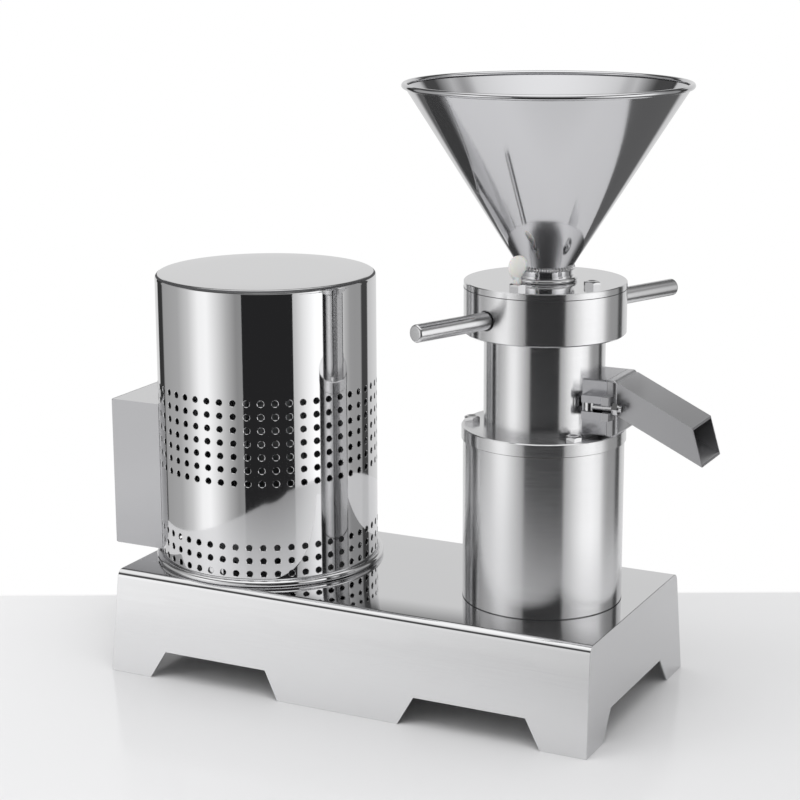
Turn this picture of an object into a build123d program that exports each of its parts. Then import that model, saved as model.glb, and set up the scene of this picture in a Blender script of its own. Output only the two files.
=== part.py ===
from build123d import *
import math
import os

# Nut-butter mill: a motor under a drum cover drives an upright grinding head by V-belts
# that run inside the folded base. Millimetres. The origin is on the floor at the middle of
# the base, +X runs from the motor to the head, +Y to the back and +Z up.

# Fits
seat_gap = 0.05            # between two fixed pieces, one inside the other
running_gap = 0.05         # radial, between a turning or sliding piece and its guide
rest_gap = 0.3             # where curved faces of different pieces come close
bolt_gap = 0.5             # radial, round a bolt's shank
shaft_gap = 3.0            # radial, where a shaft only passes through
shoulder_gap = 1.0         # from a bearing to the next step of its shaft

# Base cover, folded from stainless sheet
base_length = 620.0        # at the floor
base_depth = 314.0
base_height = 124.5
base_end_lean = 3.3        # the ends lean in by this over the height
base_side_lean = 15.0
base_sheet = 2.5
base_bend = 6.0            # outside radius of the two long folds
notch_height = 33.5
side_notch_width = 176.0   # at the floor
side_notch_lean = 19.0     # each slanted edge moves in by this
side_notch_offset = 166.5
end_notch_width = 213.0
end_notch_lean = 24.5

# Mounting plate under the top of the base
plate_thickness = 8.0
plate_margin = 10.0        # clear of the bent edges

# Axes of the two machines on the base
motor_x = -175.0
head_x = 189.8

# Motor
motor_flange_radius = 100.0
motor_flange_thickness = 12.0
motor_spigot_radius = 58.0
motor_spigot_height = 2.0
motor_slide = 6.0          # each way along the slots, to tighten the belts
motor_bolt_circle = 82.5   # radius
motor_bolt = 12.0
motor_bolt_proud = 1.4     # of a bolt's end below its nut
motor_bearing_lift = 14.0  # from the flange face to the lower bearing
motor_cap_web = 3.0        # metal above the upper bearing
motor_shield_height = 40.0
motor_frame_radius = 82.0
motor_frame_wall = 7.0
motor_frame_height = 205.0
fin_count = 28
fin_height = 9.0
fin_thickness = 3.0
stator_core_height = 120.0
stator_core_bore = 45.0
stator_slots_count = 24
stator_slot_depth = 15.0
stator_slot_width = 4.0
winding_height = 18.0
motor_air_gap = 0.5
motor_shaft_radius = 12.0
motor_journal_radius = 12.5
motor_body_radius = 17.0
motor_fan_seat = 9.5       # radius of the shaft inside the fan
motor_bearing_boss = 9.0   # metal round the bearings
motor_shaft_reach = 60.0   # below the flange face
motor_bearing_radius = 26.0
motor_bearing_width = 15.0
upper_shield_thickness = 16.0
fan_radius = 70.0
fan_blades = 7
fan_height = 18.0
fan_sheet = 2.5
fan_gap = 6.0              # above the upper shield
cowl_height = 48.0
cowl_sheet = 1.5
cowl_slots = 12
cowl_edge = 8.0

# Drum cover over the motor
drum_radius = 133.4
drum_top = 479.8
drum_sheet = 1.5
drum_edge = 10.0
drum_bead = 3.6            # radius of the rolled rim
bracket_count = 3
bracket_width = 22.0
bracket_height = 26.0
bracket_sheet = 2.5

# Electric box on the side of the drum
box_left = -355.0
box_depth = 146.0
box_bottom = 134.0
box_top = 318.0
box_sheet = 1.5
box_screw = 4.0
box_screw_inset = 9.0
box_lid_corner = 2.0
capacitor_radius = 22.0
capacitor_height = 92.0
gland_bore = 4.5
gland_radius = 8.0
gland_hex = 22.0
gland_height = 172.0
gland_reach = 24.0
lead_hole = 9.0            # for the motor's leads, through the drum and the box
lead_height = 232.0
switch_width = 22.0
switch_height = 30.0
switch_z = 262.0
switch_wall = 1.5
switch_rim = 2.5           # of its frame, on the lid
block_width = 24.0         # terminal block
block_length = 55.0
block_height = 18.0
block_ways = 5

# Belt drive
belt_count = 2
belt_top_width = 12.4
belt_depth = 8.0
belt_gap = 0.35            # between the belt's flanks and the groove
groove_half_angle = 19.0
groove_depth = 11.0
groove_pitch = 15.0
groove_edge = 10.0
pulley_rim = 3.0           # beyond the pitch radius
motor_pitch_radius = 56.0
spindle_pitch_radius = 45.0
pulley_drop = 12.0         # from the mounting plate to the top of a pulley
key_width = 8.0
key_height = 7.0
key_length = 26.0

# Grinding head: bearing housing
housing_radius = 92.4
housing_top = 313.35
housing_wall = 8.0
housing_deck = 14.0
housing_foot = 14.0
housing_foot_width = 20.0
foot_bolt_circle = 76.4    # radius
housing_bolt = 12.0
barrel_wall = 10.0
barrel_bottom = 152.0
web_count = 4
web_thickness = 8.0
bearing_radius = 31.0
bearing_width = 16.0
journal_radius = 15.0
bearing_depth = 10.0       # of the upper bearing below the housing's top
cap_thickness = 8.0
spindle_pulley_radius = 12.5
spindle_body_radius = 19.0
spindle_neck_radius = 14.0
rotor_seat_radius = 12.0
spindle_thread_radius = 9.0
spindle_thread_length = 16.0

# Grinding chamber
gasket_thickness = 1.0
flange_radius = 94.3
flange_top = 329.1
chamber_radius = 69.0
chamber_bore = 60.0
chamber_top = 465.0
chamber_floor = 337.0
hub_radius = 27.0
hub_top = 352.0
seal_radius = 24.0
seal_height = 10.0
flange_bolt = 10.0
flange_bolt_circle = 83.0
flange_bolt_start = -164.3  # degrees
flange_bolt_floor = 3.0    # metal below the tapped holes
flange_edge = 1.0

# Grinding pair
rotor_bottom = 404.0
rotor_height = 62.0
rotor_top_radius = 39.0
rotor_bottom_radius = 53.0
feed_radius = 20.0
feed_height = 26.0
grinding_gap = 1.2         # square to the cone, at rest
tooth_count = 20
tooth_depth = 2.6
tooth_width = 3.6
tooth_skew = 14.0          # degrees from the axis
stator_bottom = 410.0
stator_flange_radius = 66.0
stator_flange_height = 8.0
stator_key_radius = 4.0
stator_key_lift = 12.0     # above the stator's lower end
stator_key_reach = 3.0     # into the stator's groove
lift_down = 1.0            # travel of the stator each way
lift_up = 2.0

# Adjusting ring, lid and handles
ring_radius = 92.2
ring_bottom = 437.75
ring_top = 489.6
ring_edge = 1.5
retainer_thickness = 2.5
retainer_inner = 62.5
retainer_outer = 71.0
ring_deck = 11.0           # thickness of the ring's top
ring_deck_bore = 50.0
lid_thickness = 7.5
lid_edge = 0.8
handle_radius = 10.0
handle_height = 462.0
handle_angle = 67.7        # degrees from +X, of the rear handle
handle_spigot = 6.0        # radius of the threaded end
handle_seat = 82.0         # from the axis to the bottom of the handle's hole
handle_hole_gap = 1.7
handle_skin = 3.0          # metal between the handle's end and the ring's bore
handle_round = 3.0
front_handle_reach = 197.0
rear_handle_reach = 216.0
lid_bolt = 10.0
lid_bolt_circle = 66.0
lid_bolt_angles = (-16.3, 124.1)
lid_bolt_floor = 2.0       # metal below the tapped holes
port_angle = -95.5
port_bore = 3.0
plug_width = 17.0
plug_height = 26.0
plug_thickness = 8.0
plug_stem = 4.4
plug_stem_height = 6.0

# Hopper
socket_radius = 33.5
socket_height = 7.5
socket_bore = 27.0
neck_radius = 30.0
neck_top = 512.0
spigot_depth = 14.0        # of the hopper's neck inside the socket and lid
hopper_sheet = 1.5
hopper_rim_z = 715.3
hopper_rim_radius = 158.6  # to the middle of the rolled rim
hopper_bead = 3.3

# Outlet duct and spout
duct_half_width = 34.0
duct_bottom = 332.0
duct_top = 396.0
duct_wall = 5.0
duct_corner = 2.0
duct_end = 279.0           # x of the parting face
collar_length = 12.0
chute_half_width = 32.0
chute_sheet = 2.0
chute_run = 86.5           # level length of the upper edge
chute_fall = 41.3
chute_side = 37.0          # upright height of the chute's side
chute_end_back = 12.4      # the mouth's lower edge stands out by this
chute_start_z = 393.4

# Clamps that hold the spout: a swing bolt on each side
lug_reach = 16.0
lug_thickness = 8.4
lug_length = 24.0
lug_slot = 10.0            # between the two lugs of a fork
clamp_z = 367.5
clamp_pin_radius = 3.0
clamp_pin_inset = 6.5      # from the fork's free end to the pin
clamp_shank_radius = 4.0
clamp_eye_radius = 6.3
clamp_nut_across = 13.0
clamp_nut_height = 6.5
clamp_shank_end = 4.0      # beyond the nut
keeper_height = 27.0
keeper_reach = 18.0
keeper_length = 10.0
keeper_slot = 9.0

# Places that follow from the sizes above
deck_z = base_height
plate_top = deck_z - base_sheet
plate_bottom = plate_top - plate_thickness
belt_width_span = (belt_count - 1) * groove_pitch + 2 * groove_edge
pulley_top = plate_bottom - pulley_drop
pulley_bottom = pulley_top - belt_width_span
pulley_mid = (pulley_top + pulley_bottom) / 2
head_hole = spindle_pitch_radius
shaft_hole = motor_journal_radius + shaft_gap
neck_hole = spindle_neck_radius + shaft_gap
motor_bearing_seat = motor_bearing_radius + seat_gap
motor_boss_radius = motor_bearing_radius + motor_bearing_boss
motor_nut_height = 0.8 * motor_bolt
bearing_bore = bearing_radius + seat_gap
lower_bearing_z = barrel_bottom + 4.0
upper_bearing_z = housing_top - bearing_depth - bearing_width
flange_bottom = housing_top + gasket_thickness
lid_top = ring_top + lid_thickness
socket_top = lid_top + socket_height
rotor_top = rotor_bottom + rotor_height
cone_slope = (rotor_bottom_radius - rotor_top_radius) / rotor_height
cone_gap = grinding_gap * math.sqrt(1 + cone_slope**2)
shield_top = deck_z + motor_shield_height
frame_top = shield_top + motor_frame_height
stator_mid = (shield_top + frame_top) / 2
top_shield_top = frame_top + upper_shield_thickness
drum_inner = drum_radius - drum_sheet
lower_bearing_floor = deck_z + motor_bearing_lift
lower_bearing_end = lower_bearing_floor + motor_bearing_width
upper_bearing_end = top_shield_top - motor_cap_web
upper_bearing_floor = upper_bearing_end - motor_bearing_width
box_inner_left = box_left + box_sheet
pin_x = duct_end - lug_length + clamp_pin_inset
clamp_y = duct_half_width + lug_reach / 2
keeper_radius = duct_end + rest_gap + keeper_length - pin_x

os.makedirs("parts", exist_ok=True)


def polar(radius, angle, centre_x=head_x):
    """Point at a radius and an angle round an upright axis."""
    turn = math.radians(angle)
    return (centre_x + radius * math.cos(turn), radius * math.sin(turn))


def hex_bolt(thread, length, crowned=False):
    """Hexagon-head bolt: the seat of its head is at z = 0 and its shank points down."""
    across = 1.5 * thread + 2.0
    height = 0.64 * thread
    crown = 0.48 * across
    with BuildPart() as bolt:
        with BuildSketch():
            RegularPolygon(across / 2, 6, major_radius=False)
        extrude(amount=height)
        if crowned:
            Cone(
                crown + height * math.tan(math.radians(60)),
                crown,
                height,
                align=(Align.CENTER, Align.CENTER, Align.MIN),
                mode=Mode.INTERSECT,
            )
        with BuildSketch():
            Circle(thread / 2)
        extrude(amount=-length)
    return bolt.part


def hex_nut(thread, across, height):
    """Hexagon nut standing on z = 0."""
    with BuildPart() as nut:
        with BuildSketch():
            RegularPolygon(across / 2, 6, major_radius=False)
            Circle(thread / 2 + seat_gap, mode=Mode.SUBTRACT)
        extrude(amount=height)
    return nut.part


def ball_bearing(bore, outer, width):
    """Sealed ball bearing on z = 0 as one ring."""
    with BuildPart() as bearing:
        with BuildSketch():
            Circle(outer)
            Circle(bore, mode=Mode.SUBTRACT)
        extrude(amount=width)
    return bearing.part


def pulley(pitch_radius, bore):
    """V-belt pulley on z = 0 with a keyway on its -Y side."""
    rim = pitch_radius + pulley_rim
    groove_top = belt_top_width / 2 + belt_gap
    slope = math.tan(math.radians(groove_half_angle))
    groove_bottom = groove_top - groove_depth * slope
    with BuildPart() as wheel:
        with BuildSketch(Plane.XZ):
            with Locations((bore / 2 + rim / 2, belt_width_span / 2)):
                Rectangle(rim - bore, belt_width_span)
            for turn in range(belt_count):
                middle = groove_edge + turn * groove_pitch
                with BuildLine():
                    Polyline(
                        (rim, middle + groove_top),
                        (rim - groove_depth, middle + groove_bottom),
                        (rim - groove_depth, middle - groove_bottom),
                        (rim, middle - groove_top),
                        close=True,
                    )
                make_face(mode=Mode.SUBTRACT)
        revolve(axis=Axis.Z)
        # A dished face on the lower side, as on a cast pulley
        with BuildSketch():
            Circle(rim - groove_depth - key_height)
            Circle(bore + 1.5 * key_height, mode=Mode.SUBTRACT)
        extrude(amount=0.3 * belt_width_span, mode=Mode.SUBTRACT)
        with Locations((0, -bore, belt_width_span / 2)):
            Box(
                key_width + 2 * seat_gap,
                key_height + 2 * seat_gap,
                belt_width_span,
                mode=Mode.SUBTRACT,
            )
    return wheel.part


def feather_key(shaft_radius, top):
    """Square-ended key lying half in the shaft's -Y side, below a height."""
    with BuildPart() as key:
        with Locations((0, -shaft_radius, top - key_length / 2)):
            Box(key_width, key_height, key_length)
    return key.part


def key_seat(shaft_radius, top):
    """Slot in a shaft for its key, with a little room on every side."""
    with BuildPart() as slot:
        with Locations((0, -shaft_radius, top - key_length / 2)):
            Box(
                key_width + 2 * seat_gap,
                key_height + 2 * seat_gap,
                key_length + 2 * seat_gap,
            )
    return slot.part


def leaning_box(length, depth, height, bend):
    """Block on the floor whose sides lean in, its two long top edges rounded as by a fold."""
    rise = height / base_height
    with BuildPart() as block:
        with BuildSketch(Plane.XY):
            Rectangle(length, depth)
        with BuildSketch(Plane.XY.offset(height)):
            Rectangle(length - 2 * base_end_lean * rise, depth - 2 * base_side_lean * rise)
        loft()
        fillet(block.faces().sort_by(Axis.Z)[-1].edges().filter_by(Axis.X), bend)
    return block.part


# The base

base_blank = leaning_box(base_length, base_depth, base_height, base_bend)
base_hollow = leaning_box(
    base_length - 2 * base_sheet,
    base_depth - 2 * base_sheet,
    base_height - base_sheet,
    base_bend - base_sheet,
)
with BuildPart() as base_cover:
    add(base_blank)
    add(base_hollow, mode=Mode.SUBTRACT)
    side_half = side_notch_width / 2
    with BuildSketch(Plane.XZ):
        with Locations((-side_notch_offset, 0), (side_notch_offset, 0)):
            Polygon(
                (-side_half, 0),
                (side_half, 0),
                (side_half - side_notch_lean, notch_height),
                (-side_half + side_notch_lean, notch_height),
                align=None,
            )
    extrude(amount=base_depth, both=True, mode=Mode.SUBTRACT)
    end_half = end_notch_width / 2
    with BuildSketch(Plane.YZ):
        Polygon(
            (-end_half, 0),
            (end_half, 0),
            (end_half - end_notch_lean, notch_height),
            (-end_half + end_notch_lean, notch_height),
            align=None,
        )
    extrude(amount=base_length, both=True, mode=Mode.SUBTRACT)
    with BuildSketch(Plane.XY.offset(deck_z)):
        with Locations((motor_x, 0)):
            Circle(motor_spigot_radius + motor_slide + rest_gap)
            with PolarLocations(motor_bolt_circle, 4, start_angle=45, rotate=False):
                SlotCenterToCenter(2 * motor_slide, motor_bolt + 2 * bolt_gap)
        with Locations((head_x, 0)):
            Circle(head_hole)
            with PolarLocations(foot_bolt_circle, 4, start_angle=45):
                Circle(housing_bolt / 2 + bolt_gap)
    extrude(amount=-2 * base_sheet, mode=Mode.SUBTRACT)
base_cover.part.label = "base_cover"
export_step(base_cover.part, "parts/base_cover.step")

with BuildPart() as mounting_plate:
    with BuildSketch(Plane.XY.offset(plate_bottom)):
        RectangleRounded(
            base_length - 2 * (base_end_lean + plate_margin),
            base_depth - 2 * (base_side_lean + plate_margin),
            plate_margin,
        )
        with Locations((motor_x, 0)):
            Circle(motor_spigot_radius, mode=Mode.SUBTRACT)
            # The motor slides along these slots to tighten the belts
            with PolarLocations(motor_bolt_circle, 4, start_angle=45, rotate=False):
                SlotCenterToCenter(2 * motor_slide, motor_bolt + 2 * bolt_gap, mode=Mode.SUBTRACT)
        with Locations((head_x, 0)):
            Circle(head_hole, mode=Mode.SUBTRACT)
            with PolarLocations(foot_bolt_circle, 4, start_angle=45):
                Circle(housing_bolt / 2 + bolt_gap, mode=Mode.SUBTRACT)
    extrude(amount=plate_thickness)
mounting_plate.part.label = "mounting_plate"
export_step(mounting_plate.part, "parts/mounting_plate.step")

# The motor

with BuildPart() as motor_lower_shield:
    with BuildSketch(Plane.XZ):
        with BuildLine():
            Polyline(
                (shaft_hole, deck_z - motor_spigot_height),
                (motor_spigot_radius, deck_z - motor_spigot_height),
                (motor_spigot_radius, deck_z),
                (motor_flange_radius, deck_z),
                (motor_flange_radius, deck_z + motor_flange_thickness),
                (motor_frame_radius, deck_z + motor_flange_thickness),
                (motor_frame_radius, shield_top),
                (motor_boss_radius, shield_top),
                (motor_boss_radius, lower_bearing_end),
                (motor_bearing_seat, lower_bearing_end),
                (motor_bearing_seat, lower_bearing_floor),
                (shaft_hole, lower_bearing_floor),
                close=True,
            )
        make_face()
    revolve(axis=Axis.Z)
    with BuildSketch(Plane.XY.offset(deck_z)):
        with PolarLocations(motor_bolt_circle, 4, start_angle=45):
            Circle(motor_bolt / 2 + bolt_gap)
    extrude(amount=motor_flange_thickness, mode=Mode.SUBTRACT)
    # Pockets cut in the bell so that the bolt heads clear it
    with BuildSketch(Plane.XY.offset(deck_z + motor_flange_thickness)):
        with PolarLocations(motor_bolt_circle, 4, start_angle=45):
            Rectangle(2.2 * motor_bolt, 2.2 * motor_bolt)
    extrude(amount=motor_shield_height, mode=Mode.SUBTRACT)
motor_lower_shield.part = Pos(motor_x, 0, 0) * motor_lower_shield.part
motor_lower_shield.part.label = "motor_lower_shield"
export_step(motor_lower_shield.part, "parts/motor_lower_shield.step")

with BuildPart() as motor_frame:
    with BuildSketch(Plane.XY.offset(shield_top)):
        Circle(motor_frame_radius)
        with PolarLocations(motor_frame_radius + fin_height / 2, fin_count):
            Rectangle(fin_height + fin_thickness, fin_thickness)
        Circle(motor_frame_radius - motor_frame_wall, mode=Mode.SUBTRACT)
    extrude(amount=motor_frame_height)
motor_frame.part = Pos(motor_x, 0, 0) * motor_frame.part
motor_frame.part.label = "motor_frame"
export_step(motor_frame.part, "parts/motor_frame.step")

with BuildPart() as stator_core:
    with BuildSketch(Plane.XY.offset(stator_mid - stator_core_height / 2)):
        Circle(motor_frame_radius - motor_frame_wall - seat_gap)
        Circle(stator_core_bore, mode=Mode.SUBTRACT)
        # Slots for the windings, open to the bore
        with PolarLocations(stator_core_bore, stator_slots_count):
            Rectangle(2 * stator_slot_depth, stator_slot_width, mode=Mode.SUBTRACT)
    extrude(amount=stator_core_height)
stator_core.part = Pos(motor_x, 0, 0) * stator_core.part
stator_core.part.label = "stator_core"
export_step(stator_core.part, "parts/stator_core.step")

core_end = stator_core_height / 2 + winding_height / 2
with BuildPart() as stator_windings:
    with BuildSketch(Plane.XZ):
        with Locations((stator_core_bore + stator_slot_depth / 2, stator_mid)):
            with Locations((0, core_end), (0, -core_end)):
                Rectangle(stator_slot_depth, winding_height)
    revolve(axis=Axis.Z)
stator_windings.part = Pos(motor_x, 0, 0) * stator_windings.part
stator_windings.part.label = "stator_windings"
export_step(stator_windings.part, "parts/stator_windings.step")

with BuildPart() as motor_upper_shield:
    with BuildSketch(Plane.XZ):
        with BuildLine():
            Polyline(
                (shaft_hole, top_shield_top),
                (motor_boss_radius, top_shield_top),
                (motor_frame_radius, frame_top + upper_shield_thickness / 3),
                (motor_frame_radius, frame_top),
                (motor_boss_radius, frame_top),
                (motor_boss_radius, upper_bearing_floor),
                (motor_bearing_seat, upper_bearing_floor),
                (motor_bearing_seat, upper_bearing_end),
                (shaft_hole, upper_bearing_end),
                close=True,
            )
        make_face()
    revolve(axis=Axis.Z)
motor_upper_shield.part = Pos(motor_x, 0, 0) * motor_upper_shield.part
motor_upper_shield.part.label = "motor_upper_shield"
export_step(motor_upper_shield.part, "parts/motor_upper_shield.step")

motor_race = ball_bearing(motor_journal_radius + running_gap, motor_bearing_radius, motor_bearing_width)
with BuildPart() as motor_bearings:
    with Locations((motor_x, 0, lower_bearing_floor), (motor_x, 0, upper_bearing_floor)):
        add(motor_race)
motor_bearings.part.label = "motor_bearings"
export_step(motor_bearings.part, "parts/motor_bearings.step")

fan_z = top_shield_top + fan_gap
cowl_top = top_shield_top + cowl_height
cowl_inner = motor_frame_radius + seat_gap
cowl_outer = cowl_inner + cowl_sheet
with BuildPart() as fan_cowl:
    with BuildSketch(Plane.XZ):
        with BuildLine():
            Polyline(
                (cowl_inner, frame_top),
                (cowl_outer, frame_top),
                (cowl_outer, cowl_top - cowl_edge),
                (cowl_outer - cowl_edge, cowl_top),
                (0, cowl_top),
                (0, cowl_top - cowl_sheet),
                (cowl_inner - cowl_edge, cowl_top - cowl_sheet),
                (cowl_inner, cowl_top - cowl_sheet - cowl_edge),
                close=True,
            )
        make_face()
    revolve(axis=Axis.Z)
    with BuildSketch(Plane.XY.offset(cowl_top)):
        with PolarLocations(0.55 * cowl_outer, cowl_slots):
            Rectangle(0.5 * cowl_outer, 7.0)
    extrude(amount=-2 * cowl_sheet, mode=Mode.SUBTRACT)
fan_cowl.part = Pos(motor_x, 0, 0) * fan_cowl.part
fan_cowl.part.label = "fan_cowl"
export_step(fan_cowl.part, "parts/fan_cowl.step")

motor_grip = motor_flange_thickness + base_sheet + plate_thickness
motor_stud = hex_bolt(motor_bolt, motor_grip + motor_nut_height + motor_bolt_proud)
with BuildPart() as motor_bolts:
    with Locations((motor_x, 0, deck_z + motor_flange_thickness)):
        with PolarLocations(motor_bolt_circle, 4, start_angle=45):
            add(motor_stud)
motor_bolts.part.label = "motor_bolts"
export_step(motor_bolts.part, "parts/motor_bolts.step")

motor_nut = hex_nut(motor_bolt, 1.5 * motor_bolt, motor_nut_height)
with BuildPart() as motor_nuts:
    with Locations((motor_x, 0, plate_bottom - motor_nut_height)):
        with PolarLocations(motor_bolt_circle, 4, start_angle=45):
            add(motor_nut)
motor_nuts.part.label = "motor_nuts"
export_step(motor_nuts.part, "parts/motor_nuts.step")

# The motor's turning group

motor_end = deck_z - motor_shaft_reach
with BuildPart() as motor_shaft:
    with BuildSketch(Plane.XZ):
        with BuildLine():
            Polyline(
                (0, motor_end),
                (motor_shaft_radius, motor_end),
                (motor_shaft_radius, deck_z),
                (motor_journal_radius, deck_z),
                (motor_journal_radius, lower_bearing_end + shoulder_gap),
                (motor_body_radius, lower_bearing_end + shoulder_gap),
                (motor_body_radius, upper_bearing_floor - shoulder_gap),
                (motor_journal_radius, upper_bearing_floor - shoulder_gap),
                (motor_journal_radius, fan_z),
                (motor_fan_seat, fan_z),
                (motor_fan_seat, fan_z + fan_height),
                (0, fan_z + fan_height),
                close=True,
            )
        make_face()
    revolve(axis=Axis.Z)
    add(key_seat(motor_shaft_radius, pulley_top), mode=Mode.SUBTRACT)
motor_shaft.part = Pos(motor_x, 0, 0) * motor_shaft.part
motor_shaft.part.label = "motor_shaft"
export_step(motor_shaft.part, "parts/motor_shaft.step")

with BuildPart() as motor_rotor:
    with BuildSketch(Plane.XY.offset(stator_mid - stator_core_height / 2)):
        Circle(stator_core_bore - motor_air_gap)
        Circle(motor_body_radius + seat_gap, mode=Mode.SUBTRACT)
    extrude(amount=stator_core_height)
motor_rotor.part = Pos(motor_x, 0, 0) * motor_rotor.part
motor_rotor.part.label = "motor_rotor"
export_step(motor_rotor.part, "parts/motor_rotor.step")

with BuildPart() as motor_fan:
    with BuildSketch(Plane.XY.offset(fan_z)):
        Circle(fan_radius)
    extrude(amount=fan_sheet)
    with BuildSketch(Plane.XY.offset(fan_z)):
        Circle(motor_fan_seat + 3 * fan_sheet)
        with PolarLocations((fan_radius + motor_fan_seat) / 2, fan_blades):
            Rectangle(fan_radius - motor_fan_seat - 2 * fan_sheet, fan_sheet)
    extrude(amount=fan_height)
    with BuildSketch(Plane.XY.offset(fan_z)):
        Circle(motor_fan_seat + seat_gap)
    extrude(amount=fan_height, mode=Mode.SUBTRACT)
motor_fan.part = Pos(motor_x, 0, 0) * motor_fan.part
motor_fan.part.label = "motor_fan"
export_step(motor_fan.part, "parts/motor_fan.step")

with BuildPart() as motor_pulley:
    with Locations((motor_x, 0, pulley_bottom)):
        add(pulley(motor_pitch_radius, motor_shaft_radius + seat_gap))
motor_pulley.part.label = "motor_pulley"
export_step(motor_pulley.part, "parts/motor_pulley.step")

with BuildPart() as motor_key:
    with Locations((motor_x, 0, 0)):
        add(feather_key(motor_shaft_radius, pulley_top))
motor_key.part.label = "motor_key"
export_step(motor_key.part, "parts/motor_key.step")

# The belts: each loop runs on the outside of both pulleys at their rims

wheel_gap = head_x - motor_x
motor_rim = motor_pitch_radius + pulley_rim - rest_gap
spindle_rim = spindle_pitch_radius + pulley_rim - rest_gap
swing = (motor_rim - spindle_rim) / wheel_gap
rise = math.sqrt(1 - swing**2)
with BuildPart() as v_belts:
    for turn in range(belt_count):
        belt_z = pulley_bottom + groove_edge + turn * groove_pitch
        with BuildLine(Plane.XY.offset(belt_z)) as belt_path:
            near_start = (motor_x + motor_rim * swing, motor_rim * rise)
            near_end = (head_x + spindle_rim * swing, spindle_rim * rise)
            far_start = (near_end[0], -near_end[1])
            far_end = (near_start[0], -near_start[1])
            Line(near_start, near_end)
            ThreePointArc(near_end, (head_x + spindle_rim, 0), far_start)
            Line(far_start, far_end)
            ThreePointArc(far_end, (motor_x - motor_rim, 0), near_start)
        inner_half = belt_top_width / 2 - belt_depth * math.tan(math.radians(groove_half_angle))
        belt_start = (motor_x - motor_rim, 0, belt_z)
        with BuildSketch(Plane(belt_start, x_dir=(1, 0, 0), z_dir=(0, 1, 0))):
            Polygon(
                (0, belt_top_width / 2),
                (0, -belt_top_width / 2),
                (belt_depth, -inner_half),
                (belt_depth, inner_half),
                align=None,
            )
        sweep(path=belt_path.wires()[0])
v_belts.part.label = "v_belts"
export_step(v_belts.part, "parts/v_belts.step")

# The drum cover and its electric box

with BuildPart() as motor_cover:
    with BuildSketch(Plane.XZ):
        bead_z = deck_z + rest_gap + drum_bead
        with BuildLine():
            Polyline(
                (0, drum_top),
                (drum_radius, drum_top),
                (drum_radius, bead_z),
                (drum_inner, bead_z),
                (drum_inner, drum_top - drum_sheet),
                (0, drum_top - drum_sheet),
                close=True,
            )
        make_face()
        with Locations((drum_radius + drum_bead - drum_sheet / 2, bead_z)):
            Circle(drum_bead)
    revolve(axis=Axis.Z)
    outer_edge = motor_cover.edges().filter_by(GeomType.CIRCLE).filter_by_position(
        Axis.Z, drum_top - 0.01, drum_top + 0.01
    )
    inner_edge = motor_cover.edges().filter_by(GeomType.CIRCLE).filter_by_position(
        Axis.Z, drum_top - drum_sheet - 0.01, drum_top - drum_sheet + 0.01
    )
    fillet(outer_edge, drum_edge)
    fillet(inner_edge, drum_edge - drum_sheet)
    with Locations(Plane((-drum_radius, 0, lead_height), z_dir=(-1, 0, 0))):
        Cylinder(lead_hole, 4 * drum_sheet, mode=Mode.SUBTRACT)
motor_cover.part = Pos(motor_x, 0, 0) * motor_cover.part
motor_cover.part.label = "motor_cover"
export_step(motor_cover.part, "parts/motor_cover.step")

with BuildPart() as cover_brackets:
    with Locations((motor_x, 0, deck_z)):
        with PolarLocations(drum_inner - rest_gap - bracket_sheet / 2, bracket_count, start_angle=30):
            Box(
                bracket_sheet,
                bracket_width,
                bracket_height,
                align=(Align.CENTER, Align.CENTER, Align.MIN),
            )
        with PolarLocations(drum_inner - rest_gap - bracket_width / 2, bracket_count, start_angle=30):
            Box(
                bracket_width,
                bracket_width,
                bracket_sheet,
                align=(Align.CENTER, Align.CENTER, Align.MIN),
            )
    with Locations((motor_x, 0, deck_z)):
        Cylinder(
            drum_inner - rest_gap,
            bracket_height,
            align=(Align.CENTER, Align.CENTER, Align.MIN),
            mode=Mode.INTERSECT,
        )
cover_brackets.part.label = "cover_brackets"
export_step(cover_brackets.part, "parts/cover_brackets.step")

box_height = box_top - box_bottom
box_mid_z = (box_top + box_bottom) / 2
box_end = motor_x - drum_radius / 2
screw_grid = (box_depth - 2 * box_screw_inset, box_height - 2 * box_screw_inset, 2, 2)
saddle = drum_radius + rest_gap


def box_block(inset, saddle_radius):
    """Block of the electric box, its right side cut to the drum."""
    left = box_inner_left + inset
    with BuildPart() as block:
        with Locations(((left + box_end) / 2, 0, box_mid_z)):
            Box(box_end - left, box_depth - 2 * inset, box_height - 2 * inset)
        with Locations((motor_x, 0, box_mid_z)):
            Cylinder(saddle_radius, 2 * box_height, mode=Mode.SUBTRACT)
    return block.part


box_blank = box_block(0, saddle)
box_hollow = box_block(box_sheet, saddle + box_sheet)
with BuildPart() as terminal_box:
    add(box_blank)
    add(box_hollow, mode=Mode.SUBTRACT)
    # The left end is open, with a narrow flange that the lid screws to
    with Locations((box_inner_left, 0, box_mid_z)):
        Box(
            4 * box_sheet,
            box_depth - 4 * box_screw_inset,
            box_height - 4 * box_screw_inset,
            mode=Mode.SUBTRACT,
        )
    with Locations(Plane((box_inner_left, 0, box_mid_z), x_dir=(0, 1, 0), z_dir=(-1, 0, 0))):
        with GridLocations(*screw_grid):
            Cylinder(box_screw / 2 + seat_gap, 6 * box_sheet, mode=Mode.SUBTRACT)
    with Locations(Plane((motor_x - saddle, 0, lead_height), z_dir=(-1, 0, 0))):
        Cylinder(lead_hole, 6 * box_sheet, mode=Mode.SUBTRACT)
    gland_x = box_inner_left + 0.4 * (motor_x - drum_radius - box_left)
    with Locations(Plane((gland_x, box_depth / 2, gland_height), z_dir=(0, 1, 0))):
        Cylinder(gland_radius + seat_gap, 4 * box_sheet, mode=Mode.SUBTRACT)
terminal_box.part.label = "terminal_box"
export_step(terminal_box.part, "parts/terminal_box.step")

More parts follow.
